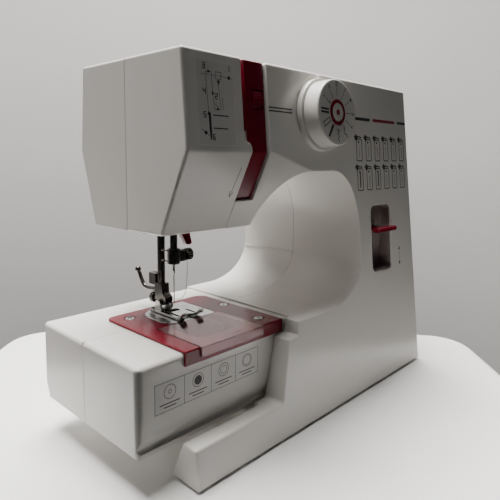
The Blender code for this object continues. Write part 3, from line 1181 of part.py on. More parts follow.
def build():
    front_housing()
    rear_housing()
    head_cover()
    arm_half("arm_front_shell", True, PART_Y)
    arm_half("arm_rear_shell", False, PART_Y + GAP)
    base_plate()
    for name, x, y in (("foot_front_left", 3.0, 13.0), ("foot_front_right", 282.0, 14.0),
                       ("foot_rear_right", 282.0, 134.0), ("foot_rear_left", 66.0, 134.0)):
        rubber_foot(name, x, y)
    thread_strip()
    tension_dial()
    take_up_lever()
    needle_bar()
    needle_clamp()
    clamp_screw()
    needle()
    presser_bar()
    presser_block()
    presser_spring()
    presser_lifter()
    head_screw()
    foot_ankle()
    ankle_screw()
    foot_release_lever()
    presser_foot()
    threader_tab()
    upper_thread()
    plate_cover()
    for number, (x, y) in enumerate(PLATE_SCREWS, 1):
        plate_screw(f"plate_screw_{number}", x, y)
    needle_plate()
    feed_dog()
    bobbin_cover()
    hook()
    bobbin_case()
    bobbin()
    main_shaft()
    bush("shaft_bush_left", BUSH_X[0])
    bush("shaft_bush_right", BUSH_X[1])
    crank_disc()
    hand_wheel()
    main_pulley()
    motor_pulley()
    belt("motor_belt", BELT_X, (SHAFT_Y, SHAFT_Z), MAIN_PULLEY_RADIUS, (MOTOR_Y, MOTOR_Z),
         MOTOR_PULLEY_RADIUS)
    belt("timing_belt", TIMING_X, (SHAFT_Y, SHAFT_Z), TIMING_RADIUS, (LOWER_Y, LOWER_Z), TIMING_RADIUS)
    motor()
    motor_mount()
    lower_shaft()
    chassis()
    dial_ring()
    stitch_dial()
    dial_cap()
    reverse_lever()
    lamp()
    spool_pin()
    winder_spindle()
    power_switch()
    power_inlet()


build()
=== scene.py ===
"""Looks of a compact free-arm sewing machine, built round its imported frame.

Pieces are modelled in millimetres in a gauge frame (x from the needle end to the hand wheel, y from the front
to the back, z up from the table) and moved to the row frame, in metres, when their objects are made.
"""
import json
import math

import bmesh
import bpy
from mathutils import Matrix, Vector


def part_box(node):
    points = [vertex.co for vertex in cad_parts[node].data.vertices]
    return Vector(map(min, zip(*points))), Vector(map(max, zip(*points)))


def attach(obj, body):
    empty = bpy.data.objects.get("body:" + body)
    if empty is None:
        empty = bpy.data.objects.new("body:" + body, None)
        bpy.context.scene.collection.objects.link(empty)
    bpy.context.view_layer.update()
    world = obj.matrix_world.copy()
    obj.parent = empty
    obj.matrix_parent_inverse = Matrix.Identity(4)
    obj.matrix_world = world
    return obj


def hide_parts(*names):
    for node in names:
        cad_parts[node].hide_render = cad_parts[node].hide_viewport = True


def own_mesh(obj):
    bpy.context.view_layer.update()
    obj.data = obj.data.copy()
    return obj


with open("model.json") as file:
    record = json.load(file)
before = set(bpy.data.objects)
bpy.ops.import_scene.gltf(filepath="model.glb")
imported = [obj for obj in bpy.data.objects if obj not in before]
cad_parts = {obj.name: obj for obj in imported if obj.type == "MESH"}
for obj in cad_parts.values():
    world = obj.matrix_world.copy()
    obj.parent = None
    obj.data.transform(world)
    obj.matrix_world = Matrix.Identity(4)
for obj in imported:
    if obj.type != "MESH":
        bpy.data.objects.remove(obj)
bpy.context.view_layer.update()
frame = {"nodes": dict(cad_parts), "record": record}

MM = 0.001
TAU = 2 * math.pi
GAP = 0.3

# --- the gauge frame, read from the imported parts
ORIGIN_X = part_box("head_cover")[0].x                    # gauge x = 0 is the head cover's left face
ORIGIN_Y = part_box("rear_housing")[1].y - 148.0 * MM     # gauge y = 148 is the rear face


def gauge(node):
    """A node's box in the gauge frame, in millimetres: x0, x1, y0, y1, z0, z1."""
    low, high = ((corner - Vector((ORIGIN_X, ORIGIN_Y, 0.0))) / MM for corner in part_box(node))
    return tuple(value for pair in zip(low, high) for value in pair)


def middle(node):
    """The middle of a node's box in the gauge frame."""
    x0, x1, y0, y1, z0, z1 = gauge(node)
    return (x0 + x1) / 2, (y0 + y1) / 2, (z0 + z1) / 2


def place(x, y, z):
    """A gauge point in the row frame, in metres."""
    return Vector((ORIGIN_X + x * MM, ORIGIN_Y + y * MM, z * MM))


# --- driving dimensions
WALL = 2.2
LEAN = 0.09
FLOOR_GAP = 2
PART_Y = 86
BACK_Y = 148
BACK_TOP_Y = 142.7
_, HEAD_SPLIT, _, _, HEAD_BOTTOM, TOP = gauge("head_cover")
BAR_LEFT, BODY_RIGHT_BOTTOM = gauge("front_housing")[:2]
BODY_RIGHT_TOP = 283
SHOULDER_Z = 212
SHOULDER_Y = LEAN * SHOULDER_Z
HEAD_STEP = 50.2
STRIP_LEFT, STRIP_RIGHT, _, _, STRIP_BOTTOM, _ = gauge("thread_strip")
STRIP_SINK = 3
CHIN_FRONT_Y = 46.4
CHIN_REAR_Y = 130
CHIN_SLOPE = (CHIN_FRONT_Y - SHOULDER_Y) / (SHOULDER_Z - HEAD_BOTTOM)
NOSE_END_X = 84.3
NOSE_TIP_X, NOSE_TIP_Z = 128, 196.8
THROAT_RIGHT = 192.3
THROAT_DRAFT = 8.5
THROAT_TOP = 197.5
THROAT_FLOOR = 84.6
ARM_LEFT, ARM_RIGHT, ARM_FRONT, _, ARM_BOTTOM, ARM_TOP = gauge("arm_front_shell")
ARM_BACK = 146.5
BASE_LEFT = 54
BAR_TOP = 28.3
BAR_TOP_DEPTH = 16
BAR_BOTTOM_DEPTH = 27.8
PLATE_TOP = gauge("needle_plate")[5]
PLATE_BOX, COVER_BOX, RED_BOX = (gauge(node)[:4] for node in ("needle_plate", "bobbin_cover", "plate_cover"))
COVER_BOTTOM = 84.4
LIP_BOTTOM = gauge("bobbin_cover")[4]
FLAP_BOTTOM = gauge("plate_cover")[4]
NEEDLE = middle("needle")[:2]
PRESSER = middle("presser_bar")[:2]
HOOK = middle("bobbin")[:2]
CLAMP_Z = 131
ANKLE_SCREW_Z = 93
DIAL_X, DIAL_Z, DIAL_RADIUS = 136.2, 241.6, 25.5
DIAL_HEIGHT = 18
DIAL_CAP_RADIUS = 9.6
SLOT = (211, 245.5, 104.5, 165)
RIM = 1.4
POCKET_BACK = 24
SLIT = (222.5, 233.5, 118, 150)
SPOOL = (205, 112)
WINDER = (262, 108)
SHAFT_Y, SHAFT_Z = 100, 240
HAND_WHEEL_X = 292
TENSION = middle("tension_dial")
TENSION_RADIUS = (gauge("tension_dial")[5] - gauge("tension_dial")[4]) / 2
PLATE_SCREWS = ((11.7, 103.3), (88, 79.5), (82.6, 34.7))
PANEL_NORMAL = Vector((0, -1, LEAN)).normalized()

# --- camera, floor and light
CAMERA_AT = (-0.33424, -0.29332, 0.20878)
CAMERA_YAW = math.radians(46.37)
CAMERA_PITCH = math.radians(7.17)
CAMERA_ROLL = math.radians(0.57)
CAMERA_LENS = 36.19
CAMERA_SHIFT = (0.0022, -0.0604)
TABLE_YAW = math.radians(46.4)
TABLE_SIDES = (-0.292, 0.235)
TABLE_ENDS = (-0.19, 0.142)
TABLE_CORNER = 0.046
TABLE_EDGE = 0.012
TABLE_BOW = 0.08
TABLE_STEPS = 24                                        # points along the bowed far side
BACKDROP_RADIUS, BACKDROP_LOW, BACKDROP_HIGH = 1.7, -0.9, 1.9


def sine(degrees):
    return math.sin(math.radians(degrees))


def cosine(degrees):
    return math.cos(math.radians(degrees))


def linked(name, data):
    """A new object in the scene."""
    made = bpy.data.objects.new(name, data)
    bpy.context.scene.collection.objects.link(made)
    return made


def make_camera():
    forward = Vector((math.sin(CAMERA_YAW) * math.cos(CAMERA_PITCH),
                      math.cos(CAMERA_YAW) * math.cos(CAMERA_PITCH),
                      -math.sin(CAMERA_PITCH)))
    level = Vector((math.cos(CAMERA_YAW), -math.sin(CAMERA_YAW), 0))
    upright = level.cross(forward)
    right = level * math.cos(CAMERA_ROLL) + upright * math.sin(CAMERA_ROLL)
    up = upright * math.cos(CAMERA_ROLL) - level * math.sin(CAMERA_ROLL)
    lens = bpy.data.cameras.new("camera")
    lens.lens = CAMERA_LENS
    lens.sensor_width = 36
    lens.shift_x, lens.shift_y = CAMERA_SHIFT
    lens.clip_start = 0.01
    camera = linked("camera", lens)
    camera.matrix_world = Matrix.Translation(CAMERA_AT) @ Matrix((right, up, -forward)).transposed().to_4x4()
    bpy.context.scene.camera = camera


def area_light(name, location, target, size, power, colour):
    lamp = bpy.data.lights.new(name, "AREA")
    lamp.shape = "RECTANGLE"
    lamp.size, lamp.size_y = size
    lamp.energy = power
    lamp.color = colour
    made = linked(name, lamp)
    made.location = location
    made.rotation_euler = (Vector(target) - Vector(location)).to_track_quat("-Z", "Y").to_euler()


def bridge(bm, low, high, closed=True):
    """Faces between two rows of vertices."""
    for i in range(len(low) if closed else len(low) - 1):
        j = (i + 1) % len(low)
        bm.faces.new((low[i], low[j], high[j], high[i]))


def stage_sheet(name, rows, finish, closed):
    """A smooth sheet through rows of points, as part of the stage. A closed one has its last row filled."""
    bm = bmesh.new()
    made_rows = [[bm.verts.new(point) for point in row] for row in rows]
    for low, high in zip(made_rows, made_rows[1:]):
        bridge(bm, low, high, closed)
    if closed:
        bm.faces.new(made_rows[-1])
    bmesh.ops.recalc_face_normals(bm, faces=bm.faces)
    mesh = bpy.data.meshes.new(name)
    bm.to_mesh(mesh)
    bm.free()
    mesh.shade_smooth()
    mesh.materials.append(finish)
    linked(name, mesh)


def make_world():
    """Dim room light, with a pale room to look at where the wall ends."""
    world = bpy.data.worlds.new("studio")
    world.use_nodes = True
    nodes, links = world.node_tree.nodes, world.node_tree.links
    dim, pale = nodes["Background"], nodes.new("ShaderNodeBackground")
    for light, colour, strength in ((dim, (0.80, 0.81, 0.83), 0.03), (pale, (0.56, 0.55, 0.54), 0.85)):
        light.inputs["Color"].default_value = (*colour, 1)
        light.inputs["Strength"].default_value = strength
    chosen, seen = nodes.new("ShaderNodeMixShader"), nodes.new("ShaderNodeLightPath")
    links.new(seen.outputs["Is Camera Ray"], chosen.inputs[0])
    links.new(dim.outputs[0], chosen.inputs[1])
    links.new(pale.outputs[0], chosen.inputs[2])
    links.new(chosen.outputs[0], nodes["World Output"].inputs["Surface"])
    bpy.context.scene.world = world


def table_outline():
    """Centres and outward directions round the table's edge: four round corners and a bowed far side."""
    left, right = TABLE_SIDES[0] + TABLE_CORNER, TABLE_SIDES[1] - TABLE_CORNER
    front, back = TABLE_ENDS[0] + TABLE_CORNER, TABLE_ENDS[1] - TABLE_CORNER
    outline = []
    for cx, cy, start in ((right, front, -90), (right, back, 0), (left, back, 90), (left, front, 180)):
        if (cx, cy) == (left, back):
            for i in range(1, TABLE_STEPS):
                ramp = min(1, min(i, TABLE_STEPS - i) / TABLE_STEPS / 0.3)
                rise = TABLE_BOW * ramp * ramp * (3 - 2 * ramp)
                outline.append((right + (left - right) * i / TABLE_STEPS, back + rise, 0, 1))
        outline += [(cx, cy, *point) for point in arc(0, 0, 1, 1, start, start + 90, 16)]
    return outline


def make_stage():
    """White table top with round corners, a plain grey wall, and soft lights above and to the left."""
    turn = Matrix.Rotation(-TABLE_YAW, 3, "Z")
    rows = []
    for grow, height in arc(TABLE_CORNER - TABLE_EDGE, -TABLE_EDGE, TABLE_EDGE, TABLE_EDGE, -90, 90, 8):
        rows.append([turn @ Vector((cx + grow * ux, cy + grow * uy, height)) for cx, cy, ux,
                     uy in table_outline()])
    stage_sheet("table", rows, FLOOR, True)
    wall = [[(*point, height) for point in arc(0, 0, BACKDROP_RADIUS, BACKDROP_RADIUS, 0, 140, 28)]
            for height in (BACKDROP_LOW, (BACKDROP_LOW + BACKDROP_HIGH) / 2, BACKDROP_HIGH)]
    stage_sheet("backdrop", wall, BACKDROP, False)
    make_world()
    area_light("overhead", (-0.05, 0.24, 1.40), (0, -0.05, 0), (1, 0.6), 64, (1, 0.972, 0.945))
    area_light("left_window", (-1.35, 0.55, 0.55), (0, 0, 0.12), (0.8, 0.8), 0.62, (0.97, 0.98, 1))
    area_light("wall_light", (0.25, 0.65, 1.7), (1, 1.3, 0.3), (0.9, 0.9), 38, (1, 0.985, 0.97))


# --- materials
class Finish:
    """A Principled material and the few texture nodes that the finishes share."""

    def __init__(self, name, colour, roughness, metallic=0, **sockets):
        self.material = bpy.data.materials.new(name)
        self.material.use_nodes = True
        self.nodes = self.material.node_tree.nodes
        self.links = self.material.node_tree.links
        self.shader = self.nodes["Principled BSDF"]
        self.fill(self.shader, Base_Color=(*colour, 1), Roughness=roughness, Metallic=metallic, **sockets)
        self.place = self.nodes.new("ShaderNodeTexCoord").outputs["Object"]
        self.normal = None

    def fill(self, node, **inputs):
        """Sets a node's inputs to values, or links them to other nodes' outputs."""
        for name, value in inputs.items():
            socket = node.inputs[name.replace("_", " ")]
            if isinstance(value, bpy.types.NodeSocket):
                self.links.new(value, socket)
            else:
                socket.default_value = value
        return node

    def add(self, kind, **inputs):
        return self.fill(self.nodes.new("ShaderNode" + kind), **inputs)

    def noise(self, scale, detail=2, stretch=None):
        """Noise in object coordinates, which stretch scales by a different amount along each axis."""
        place = self.add("Mapping", Scale=stretch,
                         Vector=self.place).outputs["Vector"] if stretch else self.place
        return self.add("TexNoise", Scale=scale, Detail=detail, Vector=place).outputs["Fac"]

    def ranged(self, value, low, high, from_low=0.3, from_high=0.7):
        return self.add("MapRange", From_Min=from_low, From_Max=from_high, To_Min=low, To_Max=high,
                        Value=value).outputs["Result"]

    def added(self, first, second):
        node = self.nodes.new("ShaderNodeMath")
        node.operation = "ADD"
        for socket, value in zip(node.inputs, (first, second)):
            self.links.new(value, socket)
        return node.outputs[0]

    def colour(self, factor, first, second):
        """Mixes two colours by a factor, as the base colour."""
        node = self.nodes.new("ShaderNodeMix")
        node.data_type = "RGBA"
        for name, value in (("A", first), ("B", second)):
            socket = [s for s in node.inputs if s.name == name and s.type == "RGBA"][0]
            socket.default_value = (*value, 1)
        self.links.new(factor, node.inputs[0])
        self.fill(self.shader, Base_Color=[s for s in node.outputs if s.type == "RGBA"][0])

    def roughness(self, value):
        self.fill(self.shader, Roughness=value)

    def bump(self, height, distance):
        """Adds a bump of a depth in metres on top of those already there."""
        node = self.add("Bump", Distance=distance, Height=height)
        if self.normal:
            self.links.new(self.normal, node.inputs["Normal"])
        self.normal = node.outputs["Normal"]
        self.fill(self.shader, Normal=self.normal)


def moulded(name, colour, tint, roughness, grain=0.00002, **sockets):
    """Glossy moulded plastic: faint colour drift, worn gloss, fine hairline scratches and moulding grain."""
    finish = Finish(name, colour, roughness, **sockets)
    finish.colour(finish.ranged(finish.noise(9), 0, 1), colour, tint)
    haze = finish.ranged(finish.noise(38, 4), roughness - 0.04, roughness + 0.05)
    hairs = finish.ranged(finish.noise(9, 5, (12, 12, 260)), 0, 0.06, 0.62, 0.78)
    finish.roughness(finish.added(haze, hairs))
    finish.bump(finish.noise(30, 1), 0.00012)
    finish.bump(finish.noise(1900), grain)
    return finish.material


def metal(name, colour, tint, roughness, along, brush=0.000006):
    """Metal with fine streaks along one axis, and smudges that dull it."""
    finish = Finish(name, colour, roughness, 1)
    streaks = finish.noise(60, 4, tuple(1 if axis == along else 26 for axis in "xyz"))
    smudges = finish.noise(110, 3)
    finish.colour(finish.ranged(smudges, 0, 1), colour, tint)
    finish.roughness(finish.added(finish.ranged(streaks, roughness - 0.08, roughness + 0.10),
                                  finish.ranged(smudges, -0.03, 0.08)))
    finish.bump(streaks, brush)
    return finish.material


def coated(name, tints, drift, gloss, haze, grain, share=(0.3, 0.7), metallic=0.0, **sockets):
    """Two tints that drift into each other, a gloss that varies, and a grain of (scale, detail, depth).

    Drift and haze are the scale and detail of the noises that drive the tint and the gloss. The range of the
    drift that is spread between the tints is share. Gloss holds the two roughnesses it runs between.
    """
    finish = Finish(name, tints[0], gloss[0], metallic, **sockets)
    finish.colour(finish.ranged(finish.noise(*drift), 0, 1, *share), *tints)
    finish.roughness(finish.ranged(finish.noise(*haze), *gloss))
    finish.bump(finish.noise(*grain[:2]), grain[2])
    return finish.material


def thread_yarn():
    """Cotton thread: fine twisted strands."""
    finish = Finish("cotton_thread", (0.72, 0.72, 0.70), 0.85)
    twist = finish.add("TexWave", Scale=900, Vector=finish.place)
    twist.bands_direction = "DIAGONAL"
    finish.colour(twist.outputs["Fac"], (0.80, 0.80, 0.78), (0.52, 0.52, 0.50))
    finish.bump(twist.outputs["Fac"], 0.00008)
    return finish.material


def ink(name, colour):
    """Screen-printed ink, a little thin in places."""
    worn = tuple(channel + 0.05 for channel in colour)
    return coated(name, (colour, worn), (900, 3), (0.35, 0.6), (700, 2), (2200, 2, 0.00001), (0.45, 0.8))


CLEAR_TINT = (0.95, 0.54, 0.57)
FLOOR = coated("floor", ((0.93, 0.925, 0.915), (0.91, 0.905, 0.895)), (3, 3), (0.40, 0.52), (60, 3),
               (700, 2, 0.00002))
BACKDROP = coated("wall", ((0.57, 0.56, 0.55), (0.54, 0.53, 0.52)), (1.2, 3), (0.7, 0.85), (40, 3),
                  (260, 3, 0.0001))
WHITE = moulded("white_abs", (0.73, 0.713, 0.672), (0.72, 0.702, 0.660), 0.20)
RED = moulded("red_abs", (0.185, 0.004, 0.018), (0.160, 0.003, 0.014), 0.20, Specular_IOR_Level=0.3)
BLACK = moulded("black_plastic", (0.02, 0.02, 0.021), (0.035, 0.034, 0.033), 0.45, 0.00006)
# Dark reddish grey for painted shade on the tray's walls behind the lever's slot.
TRAY_SHADE = moulded("tray_painted_shade", (0.30, 0.255, 0.245), (0.27, 0.23, 0.22), 0.45)
CLEAR = coated("clear_plastic", (CLEAR_TINT, CLEAR_TINT), (24, 2), (0.06, 0.16), (55, 4),
               (24, 2, 0.00004), Transmission_Weight=0.94, IOR=1.49, Specular_IOR_Level=0.3)
BRIGHT = metal("bright_steel", (0.66, 0.66, 0.65), (0.55, 0.55, 0.54), 0.20, "y")
NICKEL = metal("dark_steel", (0.15, 0.14, 0.135), (0.095, 0.09, 0.085), 0.22, "z")
ZINC = metal("plated_steel", (0.52, 0.52, 0.50), (0.42, 0.43, 0.44), 0.38, "x")
CASE_STEEL = metal("motor_steel", (0.45, 0.45, 0.46), (0.36, 0.36, 0.37), 0.35, "x")
BRONZE = metal("bronze", (0.50, 0.33, 0.13), (0.36, 0.22, 0.09), 0.42, "x", 0.00002)
ALLOY = coated("cast_alloy", ((0.46, 0.46, 0.47), (0.30, 0.30, 0.31)), (70, 4), (0.42, 0.68), (1300, 4),
               (1300, 4, 0.00008), metallic=1)
RUBBER = coated("black_rubber", ((0.022, 0.022, 0.023), (0.085, 0.082, 0.078)), (160, 5), (0.68, 0.92),
                (160, 5), (1500, 3, 0.00005), (0.5, 0.8))
THREAD = thread_yarn()
INK = ink("black_ink", (0.020, 0.020, 0.022))
RED_INK = ink("red_ink", (0.24, 0.012, 0.03))
GREY_INK = ink("grey_ink", (0.30, 0.30, 0.30))
PALE_INK = ink("pale_ink", (0.90, 0.90, 0.88))
FILM = coated("label_film", ((0.69, 0.68, 0.65), (0.63, 0.62, 0.59)), (40, 3), (0.28, 0.45), (120, 3),
              (160, 2, 0.00004))

SLOT_FINISH = {"white_abs": WHITE, "red_abs": RED, "clear_plastic": CLEAR, "bright_steel": BRIGHT,
               "dark_steel": NICKEL, "cast_alloy": ALLOY, "plated_steel": ZINC, "motor_steel": CASE_STEEL,
               "black_plastic": BLACK, "black_rubber": RUBBER, "bronze": BRONZE, "thread": THREAD}


def dress_cad_nodes():
    """Gives each node that stays visible the finish of its record slot."""
    for entry in frame["record"]["subparts"]:
        for slot in frame["nodes"][entry["node"]].material_slots:
            slot.material = SLOT_FINISH[entry["material_slot"]]


# --- modelling tools
def arc(cx, cz, rx, rz, start, end, steps):
    """Points on an ellipse from one angle to another, in degrees, both ends included."""
    angles = [math.radians(start + (end - start) * i / steps) for i in range(steps + 1)]
    return [(cx + rx * math.cos(angle), cz + rz * math.sin(angle)) for angle in angles]


def rounded(x0, x1, z0, z1, radius, steps=6):
    """Outline of a rectangle with round corners, from the lower right corner round to the lower left."""
    radii = radius if isinstance(radius, tuple) else (radius,) * 4
    corners = ((x1, z0, -1, 1, -90), (x1, z1, -1, -1, 0), (x0, z1, 1, -1, 90), (x0, z0, 1, 1, 180))
    points = []
    for (x, z, sx, sz, start), r in zip(corners, radii):
        points += arc(x + sx * r, z + sz * r, r, r, start, start + 90, steps)
    return points


def inset(points, distance):
    """The outline moved inwards by a distance, corner by corner."""
    area = sum(a[0] * b[1] - b[0] * a[1] for a, b in zip(points, points[1:] + points[:1]))
    side = 1 if area > 0 else -1
    result = []
    for i, point in enumerate(points):
        before = Vector(point) - Vector(points[i - 1])
        after = Vector(points[(i + 1) % len(points)]) - Vector(point)
        n1 = Vector((-before.y, before.x)).normalized() * side
        n2 = Vector((-after.y, after.x)).normalized() * side
        mid = n1 + n2
        result.append(tuple(Vector(point) + mid * (distance * 2 / mid.length_squared)))
    return result


def slab(bm, first, second):
    """Adds a closed solid between two equal outlines in space."""
    under, over = ([bm.verts.new(point) for point in outline] for outline in (first, second))
    bm.faces.new(under)
    bm.faces.new(over)
    bridge(bm, under, over)


def prism(outline, axis, low, high, outline_high=None):
    """A solid between two copies of an outline. Axis is x, y or z; the outline holds the other two."""
    spot = {"x": lambda p, h: (h, p[0], p[1]), "y": lambda p, h: (p[0], h, p[1]),
            "z": lambda p, h: (p[0], p[1], h)}[axis]
    bm = bmesh.new()
    slab(bm, [spot(p, low) for p in outline], [spot(p, high) for p in outline_high or outline])
    bmesh.ops.recalc_face_normals(bm, faces=bm.faces)
    return bm


def lofted(rows):
    """A solid through closed rows of points."""
    bm = bmesh.new()
    rings = [[bm.verts.new(point) for point in row] for row in rows]
    for low, high in zip(rings, rings[1:]):
        bridge(bm, low, high)
    bm.faces.new(rings[0])
    bm.faces.new(rings[-1])
    bmesh.ops.recalc_face_normals(bm, faces=bm.faces)
    return bm


def opening(x0, x1, y0, y1, radius, z, reach):
    """Cutter for an upright opening with round corners, which reaches up and down from a height."""
    return prism(rounded(x0, x1, y0, y1, radius), "z", z - reach, z + reach)


def box(x0, x1, y0, y1, z0, z1):
    return prism([(x0, y0), (x1, y0), (x1, y1), (x0, y1)], "z", z0, z1)


def hull(points):
    bm = bmesh.new()
    for point in points:
        bm.verts.new(point)
    bmesh.ops.convex_hull(bm, input=bm.verts)
    bmesh.ops.recalc_face_normals(bm, faces=bm.faces)
    return bm


def wheel_points(steps):
    """Evenly spaced points on a circle of radius one."""
    return [(math.cos(TAU * i / steps), math.sin(TAU * i / steps)) for i in range(steps)]


def wavy_circle(steps, radius):
    """Outline round a middle, with a radius given by a function of the point's number."""
    return [(radius(i) * u, radius(i) * v) for i, (u, v) in enumerate(wheel_points(steps))]


def turned(profile, steps=48, ring=False):
    """A solid turned about Z. Profile points are (radius, height); a ring's profile closes on itself."""
    bm = bmesh.new()
    rows = []
    for radius, height in profile:
        points = [(radius * u, radius * v) for u, v in wheel_points(steps)] if radius > 1e-6 else [(0, 0)]
        rows.append([bm.verts.new((*point, height)) for point in points])
    pairs = list(zip(rows, rows[1:]))
    if ring:
        pairs.append((rows[-1], rows[0]))
    for lower, upper in pairs:
        for i in range(steps):
            j = (i + 1) % steps
            corners = [lower[i % len(lower)], lower[j % len(lower)], upper[j % len(upper)],
                       upper[i % len(upper)]]
            unique = list(dict.fromkeys(corners))
            if len(unique) > 2:
                bm.faces.new(unique)
    if not ring:
        for row in (rows[0], rows[-1]):
            if len(row) > 1:
                bm.faces.new(row)
    bmesh.ops.recalc_face_normals(bm, faces=bm.faces)
    return bm


def aimed(bm, location, direction):
    """Turns a solid made along Z to point along a direction, and moves it."""
    turn = Vector(direction).to_track_quat("Z", "Y").to_matrix().to_4x4()
    bmesh.ops.transform(bm, matrix=Matrix.Translation(location) @ turn, verts=bm.verts)
    return bm


def rod(start, end, radius, steps=32):
    """A plain cylinder between two points."""
    length = (Vector(end) - Vector(start)).length
    return aimed(turned([(radius, 0), (radius, length)], steps), start, Vector(end) - Vector(start))


def swept(path, radius, sides=16):
    """A round tube along a list of points. Radius is a number or one number for each point."""
    points = [Vector(point) for point in path]
    radii = radius if isinstance(radius, list) else [radius] * len(points)
    rings = []
    side = None
    for i, point in enumerate(points):
        along = (points[min(i + 1, len(points) - 1)] - points[max(i - 1, 0)]).normalized()
        start = side if side is not None else along.orthogonal()
        side = (start - along * start.dot(along)).normalized()
        other = along.cross(side)
        rings.append([point + side * (radii[i] * u) + other * (radii[i] * v) for u, v in wheel_points(sides)])
    return lofted(rings)


def smooth_route(route, steps):
    """Catmull-Rom curve through the route's points."""
    ends = [Vector(route[0]) * 2 - Vector(route[1])] + [Vector(p) for p in route]
    ends.append(Vector(route[-1]) * 2 - Vector(route[-2]))
    points = []
    for a, b, c, d in zip(ends, ends[1:], ends[2:], ends[3:]):
        for i in range(steps):
            t = i / steps
            points.append(0.5 * ((2 * b) + (c - a) * t + (2 * a - 5 * b + 4 * c - d) * t * t
                                 + (3 * b - a - 3 * c + d) * t ** 3))
    points.append(ends[-2])
    return [tuple(point) for point in points]


def moved(bm, x=0, y=0, z=0):
    bmesh.ops.translate(bm, vec=(x, y, z), verts=bm.verts)
    return bm


def sliced(bm, point, normal):
    """Keeps the part of a solid behind a plane, and closes the cut."""
    geometry = bm.verts[:] + bm.edges[:] + bm.faces[:]
    result = bmesh.ops.bisect_plane(bm, geom=geometry, plane_co=point, plane_no=normal, dist=1e-5,
                                    clear_outer=True)
    edges = [item for item in result["geom_cut"] if isinstance(item, bmesh.types.BMEdge)]
    bmesh.ops.contextual_create(bm, geom=edges)
    bmesh.ops.recalc_face_normals(bm, faces=bm.faces)
    return bm


def scratch_object(bm):
    mesh = bpy.data.meshes.new("scratch")
    bm.to_mesh(mesh)
    bm.free()
    return linked("scratch", mesh)


def evaluated(target, *others):
    """The mesh of a scratch object with its modifiers applied; the scratch objects are removed."""
    bpy.context.view_layer.update()
    result = bmesh.new()
    result.from_object(target, bpy.context.evaluated_depsgraph_get())
    for item in (target, *others):
        bpy.data.objects.remove(item, do_unlink=True)
    return result


def combined(bm, *steps):
    """Runs a list of (operation, solid) pairs on a solid with exact booleans."""
    target = scratch_object(bm)
    tools = []
    for operation, solid in steps:
        tool = scratch_object(solid)
        modifier = target.modifiers.new(operation, "BOOLEAN")
        modifier.operation = operation
        modifier.solver = "EXACT"
        modifier.object = tool
        tools.append(tool)
    return evaluated(target, *tools)


def cut(bm, *solids):
    return combined(bm, *[("DIFFERENCE", solid) for solid in solids])


def fused(bm, *solids):
    return combined(bm, *[("UNION", solid) for solid in solids])


def cleaned(bm):
    bmesh.ops.remove_doubles(bm, verts=bm.verts, dist=0.004)
    bmesh.ops.dissolve_degenerate(bm, dist=0.002, edges=bm.edges)
    bmesh.ops.dissolve_limit(bm, angle_limit=math.radians(0.4), verts=bm.verts, edges=bm.edges)
    return bm


def softened(bm, width, segments=3, sharp=26):
    """Rounds sharp edges by a width in millimetres, or by what a function gives for an edge's two ends."""
    cleaned(bm)
    layer = bm.edges.layers.float.new("bevel_weight_edge")
    widths = {}
    for edge in bm.edges:
        if len(edge.link_faces) == 2 and edge.calc_face_angle() > math.radians(sharp):
            widths[edge] = width(edge.verts[0].co, edge.verts[1].co) if callable(width) else width
    largest = max(widths.values())
    for edge, own in widths.items():
        edge[layer] = own / largest
    target = scratch_object(bm)
    modifier = target.modifiers.new("rounding", "BEVEL")
    modifier.limit_method = "WEIGHT"
    modifier.width = largest
    modifier.segments = segments
    modifier.use_clamp_overlap = False
    modifier.miter_outer = "MITER_ARC"
    return evaluated(target)


def piece(name, bm, finish, body, replaced=(), smooth=30):
    """Makes the named object in the row frame. It rides on a body and stands for the replaced CAD nodes."""
    bmesh.ops.scale(bm, vec=(MM, MM, MM), verts=bm.verts)
    bmesh.ops.translate(bm, vec=(ORIGIN_X, ORIGIN_Y, 0.0), verts=bm.verts)
    bmesh.ops.recalc_face_normals(bm, faces=bm.faces)
    mesh = bpy.data.meshes.new(name)
    bm.to_mesh(mesh)
    bm.free()
    mesh.materials.append(finish)
    mesh.shade_smooth()
    mesh.set_sharp_from_angle(angle=math.radians(smooth))
    made = linked(name, mesh)
    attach(made, body)
    if replaced:
        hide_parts(*replaced)
    made.modifiers.new("normals", "WEIGHTED_NORMAL").keep_sharp = True
    return made


ROOT = "machine_body"


# --- shells
def throat_edge(right):
    """Edge of the throat from the head's underside round to the arm, as (x, z) points."""
    steps = 26
    edge = arc(125, 150, 40.9, THROAT_TOP - 150, 173, 90, steps)
    edge += arc(right - 37, 146, 37, THROAT_TOP - 146, 90, 0, steps)
    edge += arc(right - 50, 121, 50, 121 - THROAT_FLOOR, 0, -90, steps)
    return edge


def body_outline(right, left_edge):
    """Front view of the body: base, pillar and upper arm, down to the left edge that is given."""
    outline = [(BASE_LEFT, FLOOR_GAP), (BODY_RIGHT_BOTTOM, FLOOR_GAP), (BODY_RIGHT_TOP, TOP)]
    outline += left_edge
    outline += throat_edge(right)
    outline += [(ARM_RIGHT + GAP, THROAT_FLOOR), (ARM_RIGHT + GAP, ARM_BOTTOM - GAP)]
    outline += [(BASE_LEFT, ARM_BOTTOM - GAP)]
    return outline


def open_below(points):
    """Lowers the bottom edge of a hollow so that the shell is open underneath."""
    low = min(point[1] for point in points)
    return [(x, z - 8) if z < low + 0.1 else (x, z) for x, z in points]


def nose_cutter(shift=0):
    """Takes off the front of the head below the shoulder, running out to nothing along the throat."""
    slope_end = HEAD_BOTTOM - 3
    chin = CHIN_FRONT_Y + 3 * (CHIN_FRONT_Y - SHOULDER_Y) / (SHOULDER_Z - HEAD_BOTTOM)
    corners = [(40, SHOULDER_Y, SHOULDER_Z), (80, SHOULDER_Y, SHOULDER_Z), (40, chin, slope_end),
               (NOSE_END_X, chin, slope_end), (NOSE_TIP_X, LEAN * NOSE_TIP_Z, NOSE_TIP_Z)]
    far = [(x, -40, z) for x, _, z in corners]
    return moved(hull(corners + far), y=shift)


